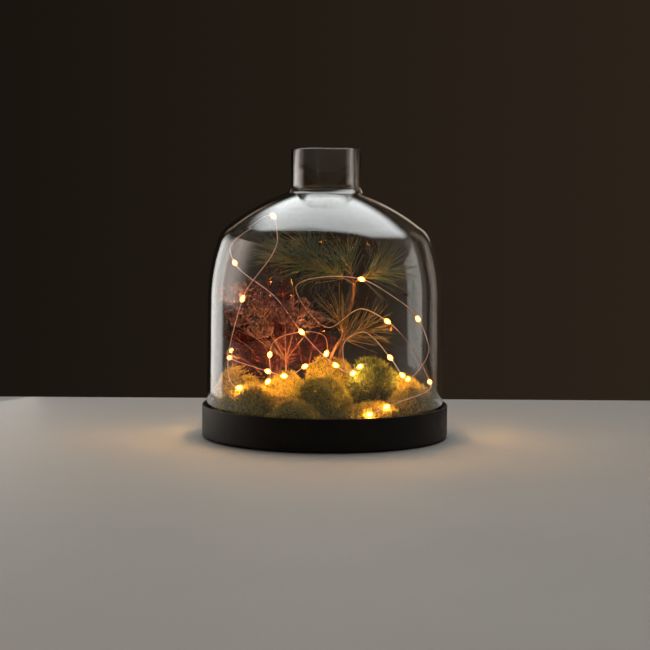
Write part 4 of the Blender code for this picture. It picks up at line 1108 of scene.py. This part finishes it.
# For each packed frond: its own path and some more from the same crown, the way that the leaflets spread, and a share
# of the full leaflet length
FRONDS = {
    "fern_frond_tall": (
        (((-46, 2, 36), (-47, 4, 66), (-54, 12, 120), (-60, 18, 194)), (1, 0.3, 0), 0.80),
        (((-45, 4, 36), (-43, 6, 80), (-41, 10, 130), (-47, 12, 180)), (1, -0.3, 0), 0.85),
        (((-44, 3, 36), (-37, 4, 76), (-32, 4, 112), (-31, 0, 145)), (1, 0.5, 0), 0.65),
    ),
    "fern_frond_left": (
        (((-70, 18, 36), (-73, 20, 76), (-82, 26, 112), (-80, 36, 150)), (1, 0.6, 0), 0.95),
        (((-71, 16, 36), (-74, 14, 70), (-86, 14, 94), (-101, 18, 104)), (0.5, 0.2, 1), 1.0),
    ),
    "fern_frond_low": (
        (((-58, 4, 36), (-60, 4, 66), (-72, 4, 84), (-98, 12, 100)), (0.2, 0.3, 1), 1.0),
        (((-57, 2, 36), (-62, 0, 60), (-78, -2, 74), (-101, 2, 80)), (0.2, -0.2, 1), 0.95),
        (((-56, 5, 36), (-53, 2, 68), (-60, -2, 90), (-86, -2, 104)), (0.3, 0.1, 1), 0.95),
    ),
    "fern_frond_right": (
        (((-16, 18, 38), (-15, 19, 74), (-8, 24, 96), (10, 34, 116)), (0.8, 0.2, 0.3), 1.1),
        (((-18, 19, 38), (-22, 20, 66), (-28, 20, 92), (-35, 16, 112)), (1, 0.2, 0.2), 1.1),
        (((-14, 16, 38), (-8, 14, 64), (2, 13, 82), (17, 14, 92)), (0.4, 0.1, 1), 1.0),
    ),
}
BARE_STALK = 0.24               # share of a frond's length without leaflets
LEAFLET_STEP = 3.9 * MM
for node, fronds in FRONDS.items():
    frond = stems_from(node.replace("fern_frond", "dyed_fern"), [
        {"path": path, "radii": (1.1, 0.4), "clad": frond_shape(BARE_STALK, size), "side": side, "steps": 10}
        for path, side, size in fronds
    ])
    cooked(frond, fern_tree, {
        "Right": right_leaflets, "Left": left_leaflets, "Step": LEAFLET_STEP, "Rib": rib_red,
        "Leaf": fern_plum if node == "fern_frond_tall" else fern_red,
    })
    keep_inside(frond)
    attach(frond, "base")
    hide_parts(node)
    print(f"{frond.name}: {len(frond.data.polygons)} faces")

# %% [markdown]
# ## Dried umbel
# The umbel's stalks fan out from one stem, and each ends in a loose dome of small seed heads on fine rays. The domes
# are flattened balls that only say where the heads sit: a tree strews points on them and sets a small cluster of
# buds on each, and the balls themselves are dropped.

# %% Cluster of buds
BUD = 1.05 * MM
BUD_CORNERS = (1, 0, 0), (0, 1, 0), (-1, 0, 0), (0, -1, 0), (0, 0, 1.2), (0, 0, -1.2)


def buds(name, number, count=6):
    """A few eight-sided buds round the end of a short ray."""
    rng = np.random.default_rng(SEED + 100 + number)
    points, faces = [], []
    for k in range(count):
        a = math.tau * k / (count - 1) + rng.uniform(-0.3, 0.3)
        out, lift = (0, 0.8 * MM) if k == count - 1 else (1.5 * MM, 0)
        middle = Vector((math.cos(a) * out, math.sin(a) * out, rng.uniform(-0.5, 0.7) * MM + lift))
        radius = BUD * rng.uniform(0.75, 1.2)
        first = len(points)
        points += [middle + Vector(p) * radius for p in BUD_CORNERS]
        for q in range(4):
            faces += [(first + q, first + (q + 1) % 4, first + 4), (first + (q + 1) % 4, first + q, first + 5)]
    return object_from(name, points, faces)


bud_clusters = hidden_library("bud_clusters", [buds(f"buds_{k}", k) for k in range(4)])

sheet, given, end = recipe("umbel", {
    "Domes": "Object", "Buds": "Collection", "Spacing": "Float", "Stalk": "Material", "Head": "Material",
})
stalks = tubes_of(sheet, sheet.add("GeometryNodeMeshToCurve", None, {0: given["Geometry"]}), given["Stalk"], 5)
domes = sheet.add("GeometryNodeObjectInfo", None, {"Object": given["Domes"]}, out="Geometry")
spots = strewn(sheet, domes, given["Spacing"], 1.3, {"Seed": SEED})
leaning = random_vector(sheet, (-0.4, -0.4, 0), (0.4, 0.4, math.tau), SEED + 10)
loose = spun(sheet, standing(sheet, spots["Normal"]), leaning)
heads = sown(sheet, spots, given["Buds"], loose, random_number(sheet, 0.7, 1.25, SEED + 11))
umbel_tree = end(joined(sheet, stalks, coated(sheet, heads, given["Head"])))


# %% The umbel
def seed_pattern(sheet):
    patches = sheet.noise(90, 3).between(0.40, 0.62)
    grain = sheet.noise(1400, 2)
    browned = sheet.mix(patches, (0.16, 0.080, 0.098), (0.048, 0.022, 0.026))
    return {
        "Base Color": sheet.mix(grain.between(0.5, 0.7) * 0.5, browned, (0.42, 0.28, 0.31)),
        "Normal": sheet.bump(grain, 0.2 * MM, 0.7),
    }


seed_brown = finish_of("dried_seed_heads", {"Roughness": 0.85, "Specular IOR Level": 0.25}, seed_pattern)
stalk_brown = finish_of("dried_stalks", {"Roughness": 0.7}, lambda sheet: {
    "Base Color": sheet.mix(sheet.noise(150, 3).between(0.4, 0.6), (0.10, 0.042, 0.020), (0.16, 0.075, 0.036)),
})
STEM_TOP = (-38, -16, 76)
HEADS = (
    (-92, -2, 138), (-74, -26, 146), (-84, -18, 118), (-62, -52, 138), (-60, -8, 126), (-38, -48, 124),
    (-26, -20, 128), (-62, -30, 108), (-14, -12, 116),
)
HEAD_RADIUS = 13.5              # in millimetres, as the places above
HEAD_DROP = 9                   # from the middle of a head to where its rays begin
FLATNESS = 0.62                 # of the domes, height against width
RAYS = 16
CLUSTER_SPACING = 4.4 * MM
rng = np.random.default_rng(SEED)
umbel_lines = [{"path": ((-38, -16, 34), (-38, -16, 56), STEM_TOP), "radii": (1.1, 0.9)}]
dome_points, dome_faces = [], []
ball = bmesh.new()
bmesh.ops.create_icosphere(ball, subdivisions=2, radius=1)
ball_points = [v.co.copy() for v in ball.verts]
ball_faces = [tuple(v.index for v in f.verts) for f in ball.faces]
ball.free()
for head in HEADS:
    head = Vector(head)
    start = Vector(STEM_TOP)
    bow = (start + head) / 2 + Vector((0, 0, -4))
    root = head - Vector((0, 0, HEAD_DROP))
    umbel_lines.append({"path": (tuple(start), tuple(bow), tuple(root)), "radii": (0.60, 0.40)})
    first = len(dome_points)
    lump = [noise.noise(p * 1.3 + head) * 0.25 + 1 for p in ball_points]
    dome_points += [
        (head + Vector((p.x, p.y, p.z * FLATNESS)) * HEAD_RADIUS * s) * MM for p, s in zip(ball_points, lump)
    ]
    dome_faces += [tuple(first + i for i in f) for f in ball_faces]
    for k in range(RAYS):
        a = math.tau * k / RAYS + rng.uniform(-0.2, 0.2)
        out = HEAD_RADIUS * rng.uniform(0.3, 0.98)
        tip = head + Vector((math.cos(a) * out, math.sin(a) * out, rng.uniform(-3, 6)))
        bend = (root + tip) / 2 + Vector((0, 0, -1.5))
        umbel_lines.append({"path": (tuple(root), tuple(bend), tuple(tip)), "radii": (0.32, 0.22), "steps": 2})
domes = object_from("domes", dome_points, dome_faces)
umbel = stems_from("dried_umbel", umbel_lines)
cooked(umbel, umbel_tree, {
    "Domes": domes, "Buds": bud_clusters, "Spacing": CLUSTER_SPACING, "Stalk": stalk_brown, "Head": seed_brown,
})
bpy.data.objects.remove(domes)
keep_inside(umbel)
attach(umbel, "base")
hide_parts("dried_flower")
print(f"dried umbel: {len(umbel.data.polygons)} faces")

# %% [markdown]
# ## Battery box and felt
# The box, its cover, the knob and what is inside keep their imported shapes, which are exact. They only need finishes:
# a fine spark texture on the moulded plastic, a satin printed sleeve on the cells, nickel on the contacts, a green
# solder mask on the board, rubber on the grommet and short fibres on the felt.

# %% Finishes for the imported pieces


def grained(name, colour, paler, roughness, scale, depth, **settings):
    """A finish with one grain that drives its colour, its roughness and its bumps."""
    def pattern(sheet):
        grain = sheet.noise(scale, 3)
        return {
            "Base Color": sheet.mix(grain.between(0.35, 0.70), colour, paler),
            "Roughness": roughness - 0.06 + grain * 0.12,
            "Normal": sheet.bump(grain, depth, 0.6),
        }

    return finish_of(name, {key.replace("_", " ").title(): value for key, value in settings.items()}, pattern)


GRAINS = {
    "felt_base": ("black_felt", (0.015, 0.015, 0.015), (0.04, 0.04, 0.038), 0.95, 1200, 0.3 * MM),
    "box_shell": ("spark_textured_plastic", (0.018, 0.018, 0.019), (0.030, 0.030, 0.031), 0.48, 2200, 0.04 * MM),
    "battery_cover": ("cover_plastic", (0.020, 0.020, 0.021), (0.034, 0.034, 0.035), 0.44, 2200, 0.04 * MM),
    "switch_slider": ("grey_knob_plastic", (0.30, 0.30, 0.30), (0.38, 0.38, 0.38), 0.40, 1800, 0.03 * MM),
    "wire_gland": ("soft_rubber", (0.022, 0.022, 0.022), (0.040, 0.040, 0.040), 0.78, 900, 0.08 * MM),
    "circuit_board": ("solder_mask", (0.010, 0.13, 0.045), (0.020, 0.20, 0.07), 0.35, 500, 0.03 * MM),
}
packed_finishes = {node: grained(*row) for node, row in GRAINS.items()}
nickel = grained("nickel_plate", (0.62, 0.60, 0.56), (0.75, 0.73, 0.70), 0.28, 1500, 0.01 * MM, metallic=1.0)
packed_finishes.update({f"contact_{piece}_{k}": nickel for piece in ("plate", "spring") for k in (1, 2)})


def sleeve_pattern(sheet):
    """A printed sleeve: a pale band round a darker body, scuffed a little."""
    along = sheet.part(sheet.place(), "X")
    band = along.between(-0.020, -0.0196) * (1 - along.between(-0.0120, -0.0116))
    scuffs = sheet.noise(300, 4)
    return {
        "Base Color": sheet.mix(band, (0.07, 0.17, 0.36), (0.62, 0.64, 0.66)),
        "Roughness": 0.28 + scuffs * 0.15,
    }


sleeve = finish_of("printed_sleeve", {"Metallic": 0.35}, sleeve_pattern)
packed_finishes["battery_cell_1"] = packed_finishes["battery_cell_2"] = sleeve
for node, finish in packed_finishes.items():
    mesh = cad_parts[node].data
    mesh.materials.clear()
    mesh.materials.append(finish)
print("finishes on", len(packed_finishes), "packed pieces")

# %% [markdown]
# ## Table, light and surroundings
# Clear glass is drawn by what it mirrors. Soft cards stand round the bell and are seen only in the glass: a broad one
# over the crown, a narrow bright strip and a wide warm haze at the left, two weak ones at the right and two slim ones
# behind for the outline. Three broad fills light the plants and are kept out of the glass, so that the look of the
# glass and the light on the moss can be set apart. The cards fade at their edges, as real soft boxes do. The room is
# an even weak light, and where the eye or the glass meets it a dusk, a little warmer at the right.

# %% Pale top
top = object_from("pale_top", [(-1.5, -2.6, 0), (1.5, -2.6, 0), (1.5, 0.30, 0), (-1.5, 0.30, 0)], [(0, 1, 2, 3)])
top.data.materials.append(finish_of("pale_surface", {"Roughness": 0.6, "Specular IOR Level": 0.3}, lambda sheet: {
    "Base Color": sheet.mix(sheet.noise(6, 4), (0.58, 0.555, 0.52), (0.64, 0.615, 0.58)),
}))

# %% Cards and fills
AIM = Vector((0, 0, 0.13))      # what they all face
# Place, size, radiance, colour, how soft the sides and the ends are, and a roll in degrees
CARDS = {
    "over_crown": ((0.22, 0.45, 1.30), (2.60, 1.26), 3.4, (0.96, 1.0, 1.0), (0.20, 0.20), 0),
    "left_strip": ((-0.381, 0.22, 0.14), (0.23, 0.46), 1.7, (1.0, 0.96, 0.90), (0.08, 0.28), 0),
    "left_haze": ((-1.42, 0.30, 0.46), (1.35, 0.86), 2.2, (1.0, 0.84, 0.75), (0.50, 0.04), 0),
    "right_card": ((1.38, 0.36, 0.42), (0.50, 1.10), 0.26, (1.0, 0.88, 0.76), (0.15, 0.15), 0),
    "warm_card": ((1.13, 0.98, 0.45), (0.36, 1.50), 0.25, (1.0, 0.78, 0.60), (0.15, 0.15), 0),
    "right_edge": ((0.55, 1.25, 0.66), (0.14, 0.95), 0.9, (1.0, 0.80, 0.62), (0.30, 0.30), -45),
    "left_edge": ((-0.55, 1.25, 0.70), (0.14, 0.60), 0.4, (1.0, 0.72, 0.50), (0.30, 0.30), 45),
}
FILLS = {
    "top_fill": ((0.1, 0.30, 1.30), (1.60, 1.20), 1.0, (1.0, 0.99, 0.96), (0.20, 0.20), 0),
    "side_fill": ((-1.1, 1.05, 0.75), (0.9, 0.9), 0.8, (1.0, 0.98, 0.95), (0.20, 0.20), 0),
    "front_fill": ((-0.5, -1.7, 1.1), (1.4, 1.0), 0.9, (1.0, 0.80, 0.55), (0.10, 0.10), 0),
}
for name, (place, (width, height), radiance, colour, softness, roll) in {**CARDS, **FILLS}.items():
    light = bpy.data.lights.new(name, "AREA")
    light.shape, light.size, light.size_y = "RECTANGLE", width, height
    light.energy = radiance * math.pi * width * height
    light.color = colour
    light.use_nodes = True
    sheet = Sheet(light.node_tree)
    across = sheet.part(sheet.add("ShaderNodeNewGeometry", out="Parametric"), "X")
    soft = 1.0
    for way, margin in zip((across, across["Y"]), softness):
        soft = way.between(0, margin) * (1 - way.between(1 - margin, 1)) * soft
    sheet.join(soft, light.node_tree.nodes["Emission"].inputs["Strength"])
    box = in_scene(name, light)
    box.location = place
    facing = (AIM - Vector(place)).to_track_quat("-Z", "Y").to_matrix()
    box.rotation_euler = (facing @ Matrix.Rotation(math.radians(roll), 3, "Z")).to_euler()
    box.visible_camera = False
    box.visible_diffuse = name in FILLS
    box.visible_glossy = box.visible_transmission = name in CARDS
    print(f"{name}: {light.energy:.1f} W")

# %% Surroundings
world = bpy.data.worlds.new("room")
bpy.context.scene.world = world
world.use_nodes = True
sheet = Sheet(world.node_tree)
world.node_tree.nodes.clear()
rays = sheet.add("ShaderNodeLightPath", out="Is Camera Ray")
seen = rays.math("MAXIMUM", rays, rays["Is Glossy Ray"])
seen = seen.math("MAXIMUM", seen, rays["Is Transmission Ray"])
even = sheet.add("ShaderNodeBackground", None, {"Color": (0.97, 0.98, 1.0, 1), "Strength": 0.09})
toward = sheet.part(sheet.place(), "X")
warmer = sheet.mix(toward.between(-0.3, 0.3), (0.0085, 0.0062, 0.0042), (0.026, 0.0175, 0.0110))
dusk = sheet.add("ShaderNodeBackground", None, {"Color": warmer, "Strength": 1.0})
both = sheet.add("ShaderNodeMixShader", None, {0: seen, 1: even, 2: dusk})
ending = world.node_tree.nodes.new("ShaderNodeOutputWorld")
sheet.join(both, ending.inputs["Surface"])
bpy.context.scene.view_settings.view_transform = "Standard"
